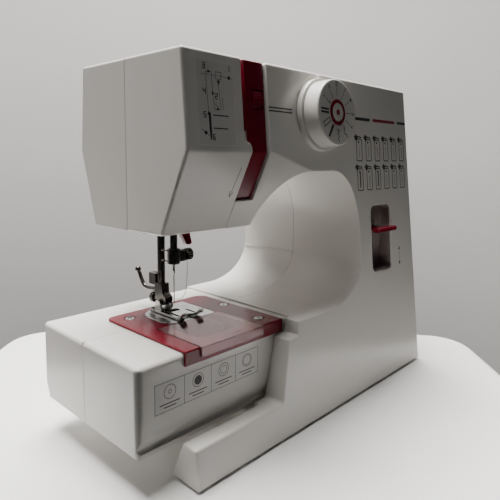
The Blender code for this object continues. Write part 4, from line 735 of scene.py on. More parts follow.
def tail_cutter(shift=0):
    """Takes off the rear of the head below the shoulder in the same way."""
    slope_end = HEAD_BOTTOM - 3
    chin = CHIN_REAR_Y - 3 * (BACK_Y - CHIN_REAR_Y) / (SHOULDER_Z - HEAD_BOTTOM)
    corners = [(-6, BACK_Y, SHOULDER_Z), (80, BACK_Y, SHOULDER_Z), (-6, chin, slope_end),
               (NOSE_END_X, chin, slope_end), (NOSE_TIP_X, BACK_Y, NOSE_TIP_Z)]
    far = [(x, BACK_Y + 20, z) for x, _, z in corners]
    return moved(hull(corners + far), y=shift)


def front_plane(bm, back=0):
    """Cuts a solid to the leaning front plane, moved back by a distance."""
    return sliced(bm, (0, back, 0), (0, -1, LEAN))


def shell_rounding(a, b):
    """Rounding of the body shells' outer edges: fine at the seams, fuller at the top and on the foot bar."""
    x, y, z = (a + b) / 2
    if abs(y - PART_Y) < 1:
        return 0.12
    if z < FLOOR_GAP + 0.5:
        return 0.8
    if z < BAR_TOP + 1 and x < BASE_LEFT + 26:
        return 1.7
    if z > TOP - 1:
        return 2.4
    if x > BODY_RIGHT_TOP - 1:
        return 2
    return 0.9


def foot_bar():
    section = [(-10, FLOOR_GAP), (-10, BAR_TOP), (BAR_TOP_DEPTH, BAR_TOP), (BAR_BOTTOM_DEPTH, FLOOR_GAP)]
    return prism(section, "x", BAR_LEFT, 80)


def foot_bar_pocket():
    pocket = [(WALL, -6), (LEAN * BAR_TOP + WALL, BAR_TOP - WALL), (BAR_TOP_DEPTH - 1.6, BAR_TOP - WALL),
              (BAR_BOTTOM_DEPTH + 1, -6)]
    return prism(pocket, "x", 14, BASE_LEFT - 2)


def on_panel(bm, x, z, lift=0):
    """Puts a solid made along Z on the leaning panel, its base lifted off the panel's surface."""
    return aimed(bm, Vector((x, LEAN * z, z)) + PANEL_NORMAL * lift, PANEL_NORMAL)


def lever_tray():
    """Shallow tray behind the slot, and what is taken out of it."""
    x0, x1, z0, z1 = SLOT
    tray = prism(rounded(x0 - WALL, x1 + WALL, z0 - WALL, z1 + WALL, 7.2), "y", -20, POCKET_BACK + WALL)
    inside = prism(rounded(*SLOT, 5), "y", 11, POCKET_BACK)
    slit = box(SLIT[0], SLIT[1], POCKET_BACK - 4, POCKET_BACK + WALL + 4, SLIT[2], SLIT[3])
    return front_plane(tray, 1), inside, slit


def slot_cutter():
    """Cuts the lever's slot with a rounded rim, through the tray's open front."""
    x0, x1, z0, z1 = SLOT
    centre = ((x0 + x1) / 2, (z0 + z1) / 2)
    half = ((x1 - x0) / 2, (z1 - z0) / 2)
    levels = [(-8, 0), *((-RIM + RIM * sine(a), RIM - RIM * cosine(a)) for a in (0, 30, 60, 90)), (4, RIM)]
    rows = []
    for height, grow in levels:
        outline = rounded(-half[0] - grow, half[0] + grow, -half[1] - grow, half[1] + grow, 5 + grow)
        rows.append([(*point, height) for point in outline])
    bm = lofted(rows)
    turn = Matrix(((1, 0, 0), (0, 0, -1), (0, 1, 0))).to_4x4()
    tilt = Matrix.Rotation(-math.atan(LEAN), 4, "X")
    spot = Matrix.Translation((centre[0], LEAN * centre[1], centre[1]))
    bmesh.ops.transform(bm, matrix=spot @ tilt @ turn, verts=bm.verts)
    return bm


def paint_tray_shade(mesh):
    """Paints shade on the tray's walls behind the slot's rounded rim: their faces get a dark reddish grey
    finish that stands for the shade inside the pocket.
    """
    x0, x1, z0, z1 = SLOT
    mesh.materials.append(TRAY_SHADE)
    for face in mesh.polygons:
        x, y, z = (face.center - place(0, 0, 0)) / MM
        if x0 - 0.1 < x < x1 + 0.1 and z0 - 0.1 < z < z1 + 0.1 and LEAN * z + 1.5 < y < POCKET_BACK + 0.1:
            face.material_index = 1


def wheel_hole():
    return rod((BODY_RIGHT_TOP - 10, SHAFT_Y, SHAFT_Z), (BODY_RIGHT_BOTTOM + 9, SHAFT_Y, SHAFT_Z), 17)


def front_housing():
    """Front half of the pillar and upper arm, with the flat panel, the slot and the foot bar."""
    left_edge = [(STRIP_RIGHT + GAP, TOP), (STRIP_RIGHT + GAP, STRIP_BOTTOM - GAP),
                 (HEAD_SPLIT + GAP, STRIP_BOTTOM - GAP), (HEAD_SPLIT + GAP, HEAD_BOTTOM)]
    near = body_outline(THROAT_RIGHT, left_edge)
    far = body_outline(THROAT_RIGHT - THROAT_DRAFT / 2, left_edge)
    block = front_plane(prism(near, "y", -20, PART_Y, far))
    skirt = [(BASE_LEFT + 10, FLOOR_GAP), (ARM_RIGHT + 6, FLOOR_GAP), (ARM_RIGHT + 6, THROAT_FLOOR),
             (98.4, THROAT_FLOOR), (97.2, 74.2), (86.5, 73.2), (76.4, BAR_TOP), (BASE_LEFT + 10, BAR_TOP)]
    apron = prism(skirt, "y", -20, ARM_FRONT - GAP)
    block = fused(block, front_plane(apron), front_plane(foot_bar()))
    block = cut(block, nose_cutter())
    block = softened(block, shell_rounding)
    hollow = prism(open_below(inset(near, WALL)), "y", -20, PART_Y + 6, open_below(inset(far, WALL)))
    hollow = cut(front_plane(hollow, WALL), nose_cutter(2.7))
    dial_hole = on_panel(turned([(5, -30), (5, 30)]), DIAL_X, DIAL_Z)
    arm_window = box(ARM_RIGHT - 4, ARM_RIGHT + 6, 30, PART_Y + 6, 32, 78)
    tray, tray_inside, slit = lever_tray()
    block = fused(cut(block, hollow, foot_bar_pocket(), arm_window, wheel_hole()), tray)
    block = cut(block, slot_cutter(), tray_inside, slit, dial_hole)
    shell = piece("front_shell", block, WHITE, ROOT, ("front_housing",))
    # The tray's walls behind the slot get painted shade.
    paint_tray_shade(shell.data)


def rear_housing():
    """Rear half of the whole body, and the rear half of the head."""
    left_edge = [(0, TOP), (0, HEAD_BOTTOM)]
    near = body_outline(THROAT_RIGHT - THROAT_DRAFT / 2, left_edge)
    far = body_outline(THROAT_RIGHT - THROAT_DRAFT, left_edge)
    start = PART_Y + GAP
    back_normal = (0, TOP - SHOULDER_Z, BACK_Y - BACK_TOP_Y)
    block = sliced(prism(near, "y", start, BACK_Y, far), (0, BACK_Y, SHOULDER_Z), back_normal)
    block = cut(block, tail_cutter())
    block = softened(block, shell_rounding)
    hollow = prism(open_below(inset(near, WALL)), "y", start - 6, BACK_Y - WALL, open_below(inset(far, WALL)))
    hollow = sliced(hollow, (0, BACK_Y - WALL, SHOULDER_Z), back_normal)
    hollow = cut(hollow, tail_cutter(-2.7))
    arm_window = box(ARM_RIGHT - 4, ARM_RIGHT + 6, start - 6, 136, 32, 78)
    bar_window = opening(20, 70, start - 6, 124, 3, HEAD_BOTTOM, 8)
    spool_hole = rod((*SPOOL, TOP - 8), (*SPOOL, TOP + 8), 4.2)
    winder_slot = opening(WINDER[0] - 4, WINDER[0] + 10, WINDER[1] - 3.6, WINDER[1] + 3.6, 3.5, TOP, 8)
    lifter_notch = box(36, 52, 116, BACK_Y + 4, HEAD_BOTTOM - 4, HEAD_BOTTOM + 20)
    sides = [box(BODY_RIGHT_TOP - 10, BODY_RIGHT_BOTTOM + 6, y0, y1, z0, z1)
             for y0, y1, z0, z1 in ((100, 121, 66, 80), (98, 123, 34, 56))]
    block = cut(block, hollow, arm_window, bar_window, wheel_hole(), spool_hole, winder_slot, lifter_notch,
                *sides)
    stop = moved(turned([(5, TOP - 1), (5, TOP + 4), (4.6, TOP + 4.7), (3.8, TOP + 5), (0, TOP + 5),
                         (0, TOP - 1)]), WINDER[0] + 6, WINDER[1] - 14)
    piece("rear_shell", fused(block, stop), WHITE, ROOT, ("rear_housing",))


def cover_rounding(a, b):
    x, y, z = (a + b) / 2
    if abs(y - PART_Y) < 1 or x > HEAD_STEP - 1:
        return 0.4
    if abs(a.x - b.x) > 1 and z < TOP - 1 and z > HEAD_BOTTOM + 1:
        return 1.4
    return 2.2


def head_cover():
    """Front half of the head: left end, front, top and underside, open to the rear and the right."""
    section = [(LEAN * TOP, TOP), (SHOULDER_Y, SHOULDER_Z), (CHIN_FRONT_Y, HEAD_BOTTOM),
               (PART_Y, HEAD_BOTTOM), (PART_Y, TOP)]
    hollow = inset(section, WALL)
    hollow = [(y + (8 if y > PART_Y - WALL - 0.1 else 0), z) for y, z in hollow]
    step = [(HEAD_STEP, TOP + 4), (HEAD_STEP, 226)]
    step += arc(HEAD_STEP + 4.6, 222, 3.6, 3.4, 180, 235, 5)
    step += arc(HEAD_SPLIT - 3.5, 213.2, 3.5, 5, 75, 0, 6)
    step += [(HEAD_SPLIT + 4, 211), (HEAD_SPLIT + 4, TOP + 4)]
    block = cut(prism(section, "x", 0, HEAD_SPLIT), prism(step, "y", -20, PART_Y + 4))
    block = softened(block, cover_rounding)
    bars = opening(20, HEAD_SPLIT + 12, 72, PART_Y + 10, 3, HEAD_BOTTOM, 8)
    block = cut(block, prism(hollow, "x", WALL, HEAD_SPLIT + 6), bars)
    piece("head_front_cover", block, WHITE, ROOT, ("head_cover",))


def arm_section(front, meeting):
    """Outline of one half of the free arm across its length: front or rear half, up to the parting plane."""
    if front:
        return [(ARM_FRONT, ARM_TOP), (ARM_FRONT, ARM_BOTTOM), (meeting, ARM_BOTTOM), (meeting, ARM_TOP)]
    return [(meeting, ARM_BOTTOM), (142.5, ARM_BOTTOM), (BACK_Y - 0.4, 36), (ARM_BACK, ARM_TOP),
            (meeting, ARM_TOP)]


def arm_cove():
    """Hollow along the foot of the arm's front, with a thin lip under it."""
    y = ARM_FRONT
    section = [(y - 6, 39), (y, 39), (y + 0.25, 37.2), (y + 0.9, 35.2), (y + 1.8, 33.2), (y + 2.4, 31.8),
               (y + 2.6, 30.8), (y + 2.3, 29.8), (y + 1.5, 29), (y + 0.6, 28.4), (y + 0.6, ARM_BOTTOM - 4),
               (y - 6, ARM_BOTTOM - 4)]
    return prism(section, "x", ARM_LEFT - 4, ARM_RIGHT + 4)


def arm_hollow(front, meeting):
    low, high = ARM_BOTTOM + WALL, ARM_TOP - WALL
    if front:
        return [(ARM_FRONT + WALL, high), (ARM_FRONT + WALL, 38), (ARM_FRONT + 2.6 + WALL, 34),
                (ARM_FRONT + 2.6 + WALL, low), (meeting + 8, low), (meeting + 8, high)]
    return [(meeting - 8, low), (141, low), (BACK_Y - 0.5 - WALL, 37), (ARM_BACK - WALL, high),
            (meeting - 8, high)]


def arm_rounding(a, b):
    x, y, z = (a + b) / 2
    if abs(y - PART_Y) < 1 or x > ARM_RIGHT - 1:
        return 0.2
    if z < ARM_BOTTOM + 4:
        return 0.8
    if x < ARM_LEFT + 0.5 and abs(a.z - b.z) > 5:
        return 4.6
    return 3


def arm_half(name, node, front, meeting):
    """One half of the free arm's shell, open at the parting plane and at the right end."""
    outside = softened(prism(arm_section(front, meeting), "x", ARM_LEFT, ARM_RIGHT), arm_rounding, 5)
    if front:
        outside = cut(outside, arm_cove())
    inside = prism(arm_hollow(front, meeting), "x", ARM_LEFT + WALL, ARM_RIGHT + 6)
    plate_hole = opening(15, 75, ARM_FRONT + 6, 111, 4, ARM_TOP, 6)
    screw_holes = [rod((x, y, ARM_TOP - 6), (x, y, ARM_TOP + 6), 4.2 + GAP) for x, y in PLATE_SCREWS]
    piece(name, cut(outside, inside, plate_hole, *screw_holes), WHITE, ROOT, (node,))


front_housing()
rear_housing()
head_cover()
arm_half("arm_front_cover", "arm_front_shell", True, PART_Y)
arm_half("arm_rear_cover", "arm_rear_shell", False, PART_Y + GAP)


# --- pieces that stand for one CAD node each
BODY_OF = {node: body for body, nodes in frame["record"]["behaviour"]["bodies"].items() for node in nodes}
SLOT_OF = {entry["node"]: entry["material_slot"] for entry in frame["record"]["subparts"]}


def stands_for(node, bm):
    """A finer piece in place of one CAD node, on the node's body and with its record slot."""
    slot = SLOT_OF[node]
    return piece(node + "_skin", bm, SLOT_FINISH[slot], BODY_OF[node], (node,), 32)


def refined(node, width):
    """A copy of a small node with its sharp edges rounded by a width in millimetres."""
    bm = bmesh.new()
    bm.from_mesh(frame["nodes"][node].data)
    bmesh.ops.translate(bm, vec=(-ORIGIN_X, -ORIGIN_Y, 0.0), verts=bm.verts)
    bmesh.ops.scale(bm, vec=(1 / MM,) * 3, verts=bm.verts)
    cleaned(bm)
    target = scratch_object(bm)
    modifier = target.modifiers.new("rounding", "BEVEL")
    modifier.limit_method = "ANGLE"
    modifier.angle_limit = math.radians(35)
    modifier.width = width
    modifier.segments = 2
    stands_for(node, evaluated(target))


# --- threading parts on the head
def thread_strip():
    """Red strip beside the head cover: a bent sheet with a window for the tension dial and a flange."""
    shoulder = SHOULDER_Y + STRIP_SINK
    low_y = shoulder + CHIN_SLOPE * (SHOULDER_Z - STRIP_BOTTOM)
    front = [(LEAN * TOP + STRIP_SINK, TOP - 0.6), (shoulder, SHOULDER_Z), (low_y, STRIP_BOTTOM)]
    section = front + [(low_y + 2.6, STRIP_BOTTOM), (shoulder + 2.4, SHOULDER_Z - 0.6),
                       (LEAN * TOP + STRIP_SINK + 1.6, TOP - 2.8), (PART_Y, TOP - 2.8), (PART_Y, TOP - 0.6)]
    sheet = prism(section, "x", STRIP_LEFT, STRIP_RIGHT)
    flange = prism(front + [(60, STRIP_BOTTOM), (60, TOP - 0.6)], "x", STRIP_LEFT, STRIP_LEFT + 1.6)
    sheet = softened(fused(sheet, flange), 0.7)
    x, y, z = TENSION
    window = rod((x - 5.4, y, z), (x + 5.4, y, z), TENSION_RADIUS + 0.6, 64)
    over_cover = box(STRIP_LEFT - 1, HEAD_SPLIT + GAP, -10, PART_Y + 2, STRIP_BOTTOM - 4, 226.5)
    stands_for("thread_strip", cut(sheet, window, over_cover))


def tension_dial():
    """Thumb wheel with a finely ribbed rim."""
    outline = wavy_circle(44 * 4, lambda i: TENSION_RADIUS - 0.35 + 0.35 * math.cos(TAU * i / 4))
    x, y, z = TENSION
    wheel = softened(prism(outline, "x", -4.6, 4.6), 0.5, 2, 50)
    stands_for("tension_dial", moved(wheel, x, y, z))


# --- needle and foot
def bars():
    """Needle bar and presser bar, turned smooth, with their bright wear bands."""
    x, y = NEEDLE
    low, high = gauge("needle_bar")[4:]
    profile = [(0, low), (1.6, low), (1.9, low + 0.3), (1.9, low + 2.4), (2.6, low + 2.7), (2.9, low + 3.1),
               (2.9, high - 1), (2.6, high - 0.3), (2.2, high), (0, high)]
    stud = softened(box(x - 5.4, x + 5, y - 5, y + 5, 196, 206), 0.6)
    stands_for("needle_bar", fused(moved(turned(profile), x, y), stud))
    x, y = PRESSER
    low, high = gauge("presser_bar")[4:]
    profile = [(0, low), (2.7, low), (3.1, low + 0.5), (3.1, high - 0.5), (2.6, high), (0, high)]
    stands_for("presser_bar", moved(turned(profile), x, y))


def needle():
    """Needle: round shank with a flat, tapered shoulder, slim blade with an eye and a sharp point."""
    x, y = NEEDLE
    low, high = gauge("needle")[4:]
    profile = [(0, low), (0.14, low + 0.9), (0.36, low + 2.6), (0.5, low + 4.4), (0.52, low + 24),
               (0.62, low + 25.2),
               (0.95, low + 27.2), (1, low + 28), (1, high), (0, high)]
    eye = aimed(turned([(0.2, -3), (0.2, 3)], 12), (x, y, low + 4.5), (0, 1, 0))
    flat = box(x - 3, x + 3, y + 0.7, y + 3, low + 27.4, high + 1)
    groove = box(x - 0.12, x + 0.12, y - 1.5, y - 0.34, low + 5.2, low + 23)
    stands_for("needle", cut(moved(turned(profile, 24), x, y), eye, flat, groove))


def needle_clamp():
    """Collar on the needle bar with its screw boss and two wire thread guides."""
    x, y = NEEDLE
    collar = moved(turned([(0, 125), (4.4, 125), (4.8, 125.2), (5, 125.6), (5, 136.6), (4.8, 137),
                           (4.4, 137.2), (0, 137.2)]), x, y)
    boss = softened(box(x + 2, x + 10.5, y - 3.6, y + 3.6, 126.4, 135.6), 1.1)
    band = [(4.7, -0.4), (5.6, -0.4), (5.6, 0.4), (4.7, 0.4)]
    grooves = [moved(turned([(r, z + h) for r, h in band], ring=True), x, y) for z in (128.4, 133.6)]
    guides = []
    for z in (126.6, 134.8):
        loop = [(x - 2, y + 2, z), (x - 3.5, y + 6.5, z + 0.3), (x - 4.4, y + 9, z + 0.6),
                (x - 3.4, y + 9.9, z + 0.6), (x - 2.6, y + 8.8, z + 0.4)]
        guides.append(swept(smooth_route(loop, 5), 0.55, 10))
    bore = rod((x, y, 120), (x, y, 140), 2.9 + GAP)
    screw_bore = rod((x + 1, y, CLAMP_Z), (x + 14, y, CLAMP_Z), 1.8)
    stands_for("needle_clamp", cut(fused(collar, boss, *guides), bore, screw_bore, *grooves))


def clamp_screw():
    """Thumb screw with a knurled head and a slot."""
    x, y = NEEDLE
    knurls = 26
    shank = turned([(0, 0), (1.4, 0), (1.4, 7.6), (0, 7.6)], 24)
    outline = wavy_circle(2 * knurls, lambda i: 4.6 + 0.2 * (-1) ** i)
    head = prism(outline, "z", 8.2, 12.8)
    dome = turned([(0, 7.5), (4, 7.5), (4.3, 8.3), (4.3, 12.8), (3.6, 13.4), (0, 13.4)])
    slot = box(-5, 5, -0.5, 0.5, 12.6, 14)
    screw = cut(fused(shank, head, dome), slot)
    stands_for("clamp_screw", aimed(screw, (x + 3.6, y, CLAMP_Z), (1, 0, 0)))


def presser_foot():
    """Foot: a wide sole that curls up to a notched toe, with ears, a cross pin and a needle opening."""
    x, y = PRESSER
    low = PLATE_TOP + 0.5
    bend_y, curl, thick, lift = y - 31.6, 11.2, 1.7, 54
    under = [(bend_y - curl * sine(a), low + curl - curl * cosine(a)) for a in range(0, lift + 1, 6)]
    inner = curl - thick
    over = [(bend_y - inner * sine(a), low + curl - inner * cosine(a)) for a in range(lift, -1, -6)]
    sole = prism([(y + 2, low)] + under + over + [(y + 2, low + thick)], "x", x - 11, x + 11)
    toe_y = y - 40.8
    needle_y = NEEDLE[1]
    plan = [(x + 9.6, y + 2), (x + 11, y + 0.4), (x + 11, toe_y + 4)]
    plan += arc(x + 8, toe_y + 3, 3, 3, 0, -90, 6) + arc(x + 7.4, toe_y + 2.2, 2.2, 2.2, -90, -180, 4)
    plan += arc(x, toe_y + 3, 5.2, 6.2, 0, 180, 12)
    plan += arc(x - 7.4, toe_y + 2.2, 2.2, 2.2, 0, -90, 4) + arc(x - 8, toe_y + 3, 3, 3, -90, -180, 6)
    plan += [(x - 11, toe_y + 4), (x - 11, y + 0.4), (x - 9.6, y + 2)]
    sole = combined(sole, ("INTERSECT", prism(plan, "z", low - 4, low + 20)))
    sole = softened(sole, 0.35, 2)
    spots = [(NEEDLE[0] - 4.5, NEEDLE[0] + 4.5, needle_y - 3, needle_y + 3, 2.2)]
    spots += [(x + s - 1.1, x + s + 1.1, needle_y - 16, needle_y - 4, 1) for s in (-7.6, 7.6)]
    holes = [prism(rounded(*spot), "z", low - 4, low + 6) for spot in spots]
    ears = []
    for side in (-6.2, 4.6):
        outline = [(y + 2, low + 1), (y - 8, low + 1)]
        outline += arc(y - 2.6, low + 5, 3.4, 3, 180, 0, 8)
        ears.append(softened(prism(outline, "x", x + side, x + side + 1.6), 0.3, 2))
    pin = rod((x - 5.8, y - 2.6, low + 5), (x + 5.8, y - 2.6, low + 5), 1)
    stands_for("presser_foot", fused(cut(sole, *holes), *ears, pin))


def foot_ankle():
    """Shank of the foot: clamp block, tapered shank with a window and a forked lower end."""
    x, y = PRESSER
    side = [(y - 5, 107), (y - 5.4, 99.5), (y - 10, 96.4), (y - 10, 92.4), (y - 4.8, 92), (y - 4.8, 88.9),
            (y - 0.4, 88.9), (y - 0.2, 92.2), (y + 4.6, 93), (y + 4.6, 104.4), (y + 12.5, 104.4),
            (y + 12.5, 114),
            (y + 3.6, 114), (y + 3.6, 107)]
    shank = softened(prism(side, "x", x - 3.6, x + 3.8), 0.5, 2)
    bore = rod((x, y, 99), (x, y, 120), 3.1 + GAP)
    screw_bore = rod((x, y + 2, ANKLE_SCREW_Z), (x, y + 14, ANKLE_SCREW_Z), 1.7)
    pin_bore = rod((x - 8, y - 2.6, PLATE_TOP + 5.5), (x + 8, y - 2.6, PLATE_TOP + 5.5), 1 + GAP)
    split = box(x - 0.5, x + 0.5, y + 4.5, y + 14, 104, 115)
    stands_for("foot_ankle", cut(shank, bore, screw_bore, pin_bore, split))


def ankle_screw():
    """Slotted screw behind the ankle."""
    x, y = PRESSER
    profile = [(0, 0), (1.3, 0), (1.3, 4.2), (4.1, 4.3), (4.4, 4.7), (4.4, 8.2), (4.1, 8.9), (3.4, 9.2)]
    profile.append((0, 9.2))
    screw = cut(turned(profile), box(-5, 5, -0.5, 0.5, 8.2, 10))
    stands_for("ankle_screw", aimed(screw, (x, y + 2.8, ANKLE_SCREW_Z), (0, 1, 0)))


def foot_release_lever():
    """Curved lever behind the ankle that thins towards its ball."""
    x, y = PRESSER
    bend = [(y + 5.4, 100.6), (y + 13, 99.6), (y + 19, 99), (y + 24, 100.5), (y + 27.6, 104.5),
            (y + 30.4, 109), (y + 33, 112.5)]
    path = smooth_route([(x, *point) for point in bend], 6)
    radii = [2 - 0.5 * i / (len(path) - 1) for i in range(len(path))]
    ball = turned([(2.6 * sine(a), -2.6 * cosine(a)) for a in range(0, 181, 12)], 28)
    stands_for("foot_release_lever", fused(swept(path, radii, 20), moved(ball, x, *bend[-1])))


def threader_tab():
    """Ribbed red finger tab below the head."""
    x, y = 61.5, 99
    outline = [(x - 5.5, 170), (x - 5.5, 149)] + arc(x + 2.4, 138.6, 2.2, 1.9, 215, 270, 3)
    outline += arc(x + 4.6, 138.6, 1.9, 1.9, 270, 360, 4) + [(x + 3.4, 150), (x + 3.4, 170)]
    tab = softened(prism(outline, "y", y - 2.5, y + 2.5), 0.6, 2)
    ribs = [box(x - 9, x + 9, y - 4, y - 1.9, z, z + 1) for z in (139.6, 141.8, 144, 146.2, 148.4, 150.6)]
    stands_for("threader_tab", cut(tab, *ribs))


def presser_spring():
    """Coil spring round the presser bar."""
    x0, x1, _, _, low, high = gauge("presser_spring")
    x, y = PRESSER
    lift, wire, turns, steps = 5.5, 0.55, 9, 20
    radius = (x1 - x0) / 2 - wire
    coil = [(x + radius * math.cos(TAU * i / steps), y + radius * math.sin(TAU * i / steps),
             low + wire + (high - low - 2 * wire) * i / (turns * steps)) for i in range(turns * steps + 1)]
    made = stands_for("presser_spring", swept(coil, wire, 10))
    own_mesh(made)


def upper_thread():
    """Loose needle thread from the clamp's boss down to the eye of the needle."""
    x, y = NEEDLE
    route = [(x + 9.6, y - 4.3, 127), (x + 9.8, y - 4.6, 121), (x + 9.2, y - 4.8, 113),
             (x + 8.4, y - 4.9, 105), (x + 6.8, y - 4.4, 99.6), (x + 4.4, y - 2.8, 96.9),
             (x + 2.2, y - 1.4, 96.2),
             (x + 0.9, y - 0.5, 96)]
    points = [place(*point) for point in smooth_route(route, 5)]
    made = piece("needle_thread", swept(smooth_route(route, 5), 0.2, 8), THREAD, "needle_set",
                 ("upper_thread",))
    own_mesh(made)


# --- plate, cover and hook
def plate_outline(grow=0):
    x0, x1, y0, y1 = PLATE_BOX
    return rounded(x0 - grow, x1 + grow, y0 - grow, y1 + grow, (2, 2, 17, 12), 12)


def plate_rounding(a, b):
    _, y, z = (a + b) / 2
    if z > PLATE_TOP - 1 and abs(a.z - b.z) < 0.5:
        return 1 if y < RED_BOX[2] + 0.5 else 0.6
    return 0.5


def plate_cover():
    """Red plate on the free arm, turned down over its front edge, with a shallow seat for the clear cover."""
    rx0, rx1, ry0, ry1 = RED_BOX
    top = PLATE_TOP - 0.2
    plate = prism(rounded(rx0, rx1, ry0, ry1, (1, 9, 6, 1), 10), "z", ARM_TOP + GAP, top)
    plate = fused(plate, box(rx0, rx1, ry0, ARM_FRONT - GAP, FLAP_BOTTOM, top))
    plate = softened(plate, plate_rounding, 3)
    metal = prism(plate_outline(GAP), "z", ARM_TOP - 4, PLATE_TOP + 4)
    x0, x1, y0, y1 = COVER_BOX
    seat = prism(rounded(x0 - GAP, x1 + GAP, y0 - 6, y1 + 1, (1, 2, 2, 1)), "z",
                 COVER_BOTTOM - GAP, PLATE_TOP + 4)
    bobbin_hole = prism(rounded(HOOK[0] - 23, HOOK[0] + 23, ARM_FRONT + 11, y1 + 1, 8), "z",
                        ARM_TOP - 4, PLATE_TOP + 4)
    screws = [rod((x, y, ARM_TOP - 6), (x, y, PLATE_TOP + 6), 4.2 + GAP) for x, y in PLATE_SCREWS]
    stands_for("plate_cover", cut(plate, metal, seat, bobbin_hole, *screws))


def needle_plate():
    """Steel plate with the needle hole, the feed slots and engraved seam guides."""
    x, y = NEEDLE
    plate = softened(prism(plate_outline(), "z", PLATE_TOP - 1.5, PLATE_TOP), 0.35, 2)
    hole = opening(x - 3.5, x + 3.5, y - 1.2, y + 1.2, 1.1, PLATE_TOP, 6)
    slots = [opening(x + sx - 2, x + sx + 2, y - 11, y + 12, 1.2, PLATE_TOP, 6) for sx in (-7.4, 7.4)]
    guides = [box(x + gx - 0.15, x + gx + 0.15, y - 9, y + 9, PLATE_TOP - 0.12, PLATE_TOP + 1)
              for gx in (13, 16, 19)]
    stands_for("needle_plate", cut(plate, hole, *slots, *guides))


def bobbin_cover():
    """Clear slide cover: rounded sheet, front lip with a finger rib, and a raised arrow."""
    x0, x1, y0, y1 = COVER_BOX
    high = PLATE_TOP + 0.2
    lip_back = RED_BOX[2] - GAP
    sheet = prism(rounded(x0, x1, y0, y1, (1, 3, 3, 1)), "z", COVER_BOTTOM, high)
    lip = box(x0, x1, y0, lip_back, LIP_BOTTOM, high)
    cover = softened(fused(sheet, lip), 0.3, 3)
    mid = (x0 + x1) / 2 + 6
    mark = prism([(mid - 4, y0 + 4), (mid + 4, y0 + 4), (mid, y0 + 8)], "z", high - 0.2, high + 0.25)
    dent = rounded(mid - 5, mid + 5, LIP_BOTTOM + 1.6, LIP_BOTTOM + 4.6, 1.2)
    dent = prism(dent, "y", y0 - 1, y0 + 0.4)
    stands_for("bobbin_cover", fused(cut(cover, dent), mark))


def plate_screws():
    """Small cross-recessed screws, sunk in the red plate."""
    for number, (x, y) in enumerate(PLATE_SCREWS, 1):
        low, high = gauge(f"plate_screw_{number}")[4:]
        head = turned([(0, low), (3.6, low), (3.6, high - 0.5), (3.4, high - 0.2), (2.9, high), (0, high)])
        arms = [box(-2.3, 2.3, -0.55, 0.55, high - 0.9, high + 1),
                box(-0.55, 0.55, -2.3, 2.3, high - 0.9, high + 1)]
        cone = turned([(0, high - 1.4), (1.5, high + 0.4), (0, high + 0.4)], 24)
        turn = Matrix.Rotation(math.radians(20 * number), 4, "Z")
        screw = cut(head, *arms, cone)
        bmesh.ops.transform(screw, matrix=Matrix.Translation((x, y, 0)) @ turn, verts=screw.verts)
        stands_for(f"plate_screw_{number}", screw)


# --- controls
def dial_ring():
    """Low stepped ring behind the stitch dial, with a small nub as its pointer."""
    ring = turned([(6, 0), (28, 0), (28.4, 0.5), (28.4, 2), (28, 2.3), (28, 2.7), (28.4, 3),
                   (28.4, 3.7), (28.1, 4.2), (27.6, 4.4), (6, 4.4)], 96, ring=True)
    nub = on_panel(softened(box(-2.2, 2.2, -1.6, 1.6, 0, 4), 0.7), DIAL_X, DIAL_Z + 29.4, GAP)
    stands_for("dial_ring", fused(on_panel(ring, DIAL_X, DIAL_Z, GAP), nub))


def stitch_dial():
    """Stitch selector knob with a softly rounded face edge."""
    r, h = DIAL_RADIUS, DIAL_HEIGHT
    profile = [(0, -16), (4.4, -16), (4.4, 5), (r + 0.2, 5), (r + 0.4, 5.4), (r + 0.4, 6)]
    profile += [(r - 1.4 + 1.4 * cosine(a), h - 1.4 + 1.4 * sine(a)) for a in range(0, 91, 15)]
    well = DIAL_CAP_RADIUS + GAP
    profile += [(well + 0.3, h), (well, h - 0.3), (well, h - 0.6), (0, h - 0.6)]
    stands_for("stitch_dial", on_panel(turned(profile, 96), DIAL_X, DIAL_Z))


def dial_cap():
    """Cap in the middle of the dial: a red ring round a pale disc."""
    h = DIAL_HEIGHT
    low = h - 0.6 + GAP
    rim = turned([(7.2, low), (DIAL_CAP_RADIUS, low), (DIAL_CAP_RADIUS, h + 0.3),
                  (DIAL_CAP_RADIUS - 0.3, h + 0.6),
                  (7.5, h + 0.6), (7.2, h + 0.4)], 72, ring=True)
    stands_for("dial_cap", on_panel(rim, DIAL_X, DIAL_Z))
    disc = turned([(0, low), (7.15, low), (7.15, h + 0.3), (0, h + 0.45)], 72)
    piece("dial_cap_disc", on_panel(disc, DIAL_X, DIAL_Z), WHITE, "stitch_selector", ())


def hand_wheel():
    """Ribbed wheel on the right end of the main shaft, dished on its face."""
    low, high = 0, gauge("hand_wheel")[1] - HAND_WHEEL_X
    outline = wavy_circle(40 * 6, lambda i: 31 - max(0, math.cos(TAU * i / 6)) ** 0.6)
    rim = softened(prism(outline, "x", low + 1, high - 3), 0.8, 3, 60)
    face = turned([(0, 0), (15, 0), (28.5, 0.2), (29.8, 2), (29.8, high - 3), (28.6, high - 1.2),
                   (26, high - 0.3), (23, high), (21.5, high - 0.2), (20, high - 1.6), (12, high - 2.2),
                   (10.5, high - 1), (9, high - 0.6), (0, high - 0.4)], 72)
    hub = turned([(11, -12), (11, 2)])
    bore = turned([(4 + GAP, -20), (4 + GAP, 10.6)])
    face = aimed(fused(face, hub), (0, 0, 0), (1, 0, 0))
    wheel = cut(fused(face, rim), aimed(bore, (0, 0, 0), (1, 0, 0)))
    stands_for("hand_wheel", moved(wheel, HAND_WHEEL_X, SHAFT_Y, SHAFT_Z))


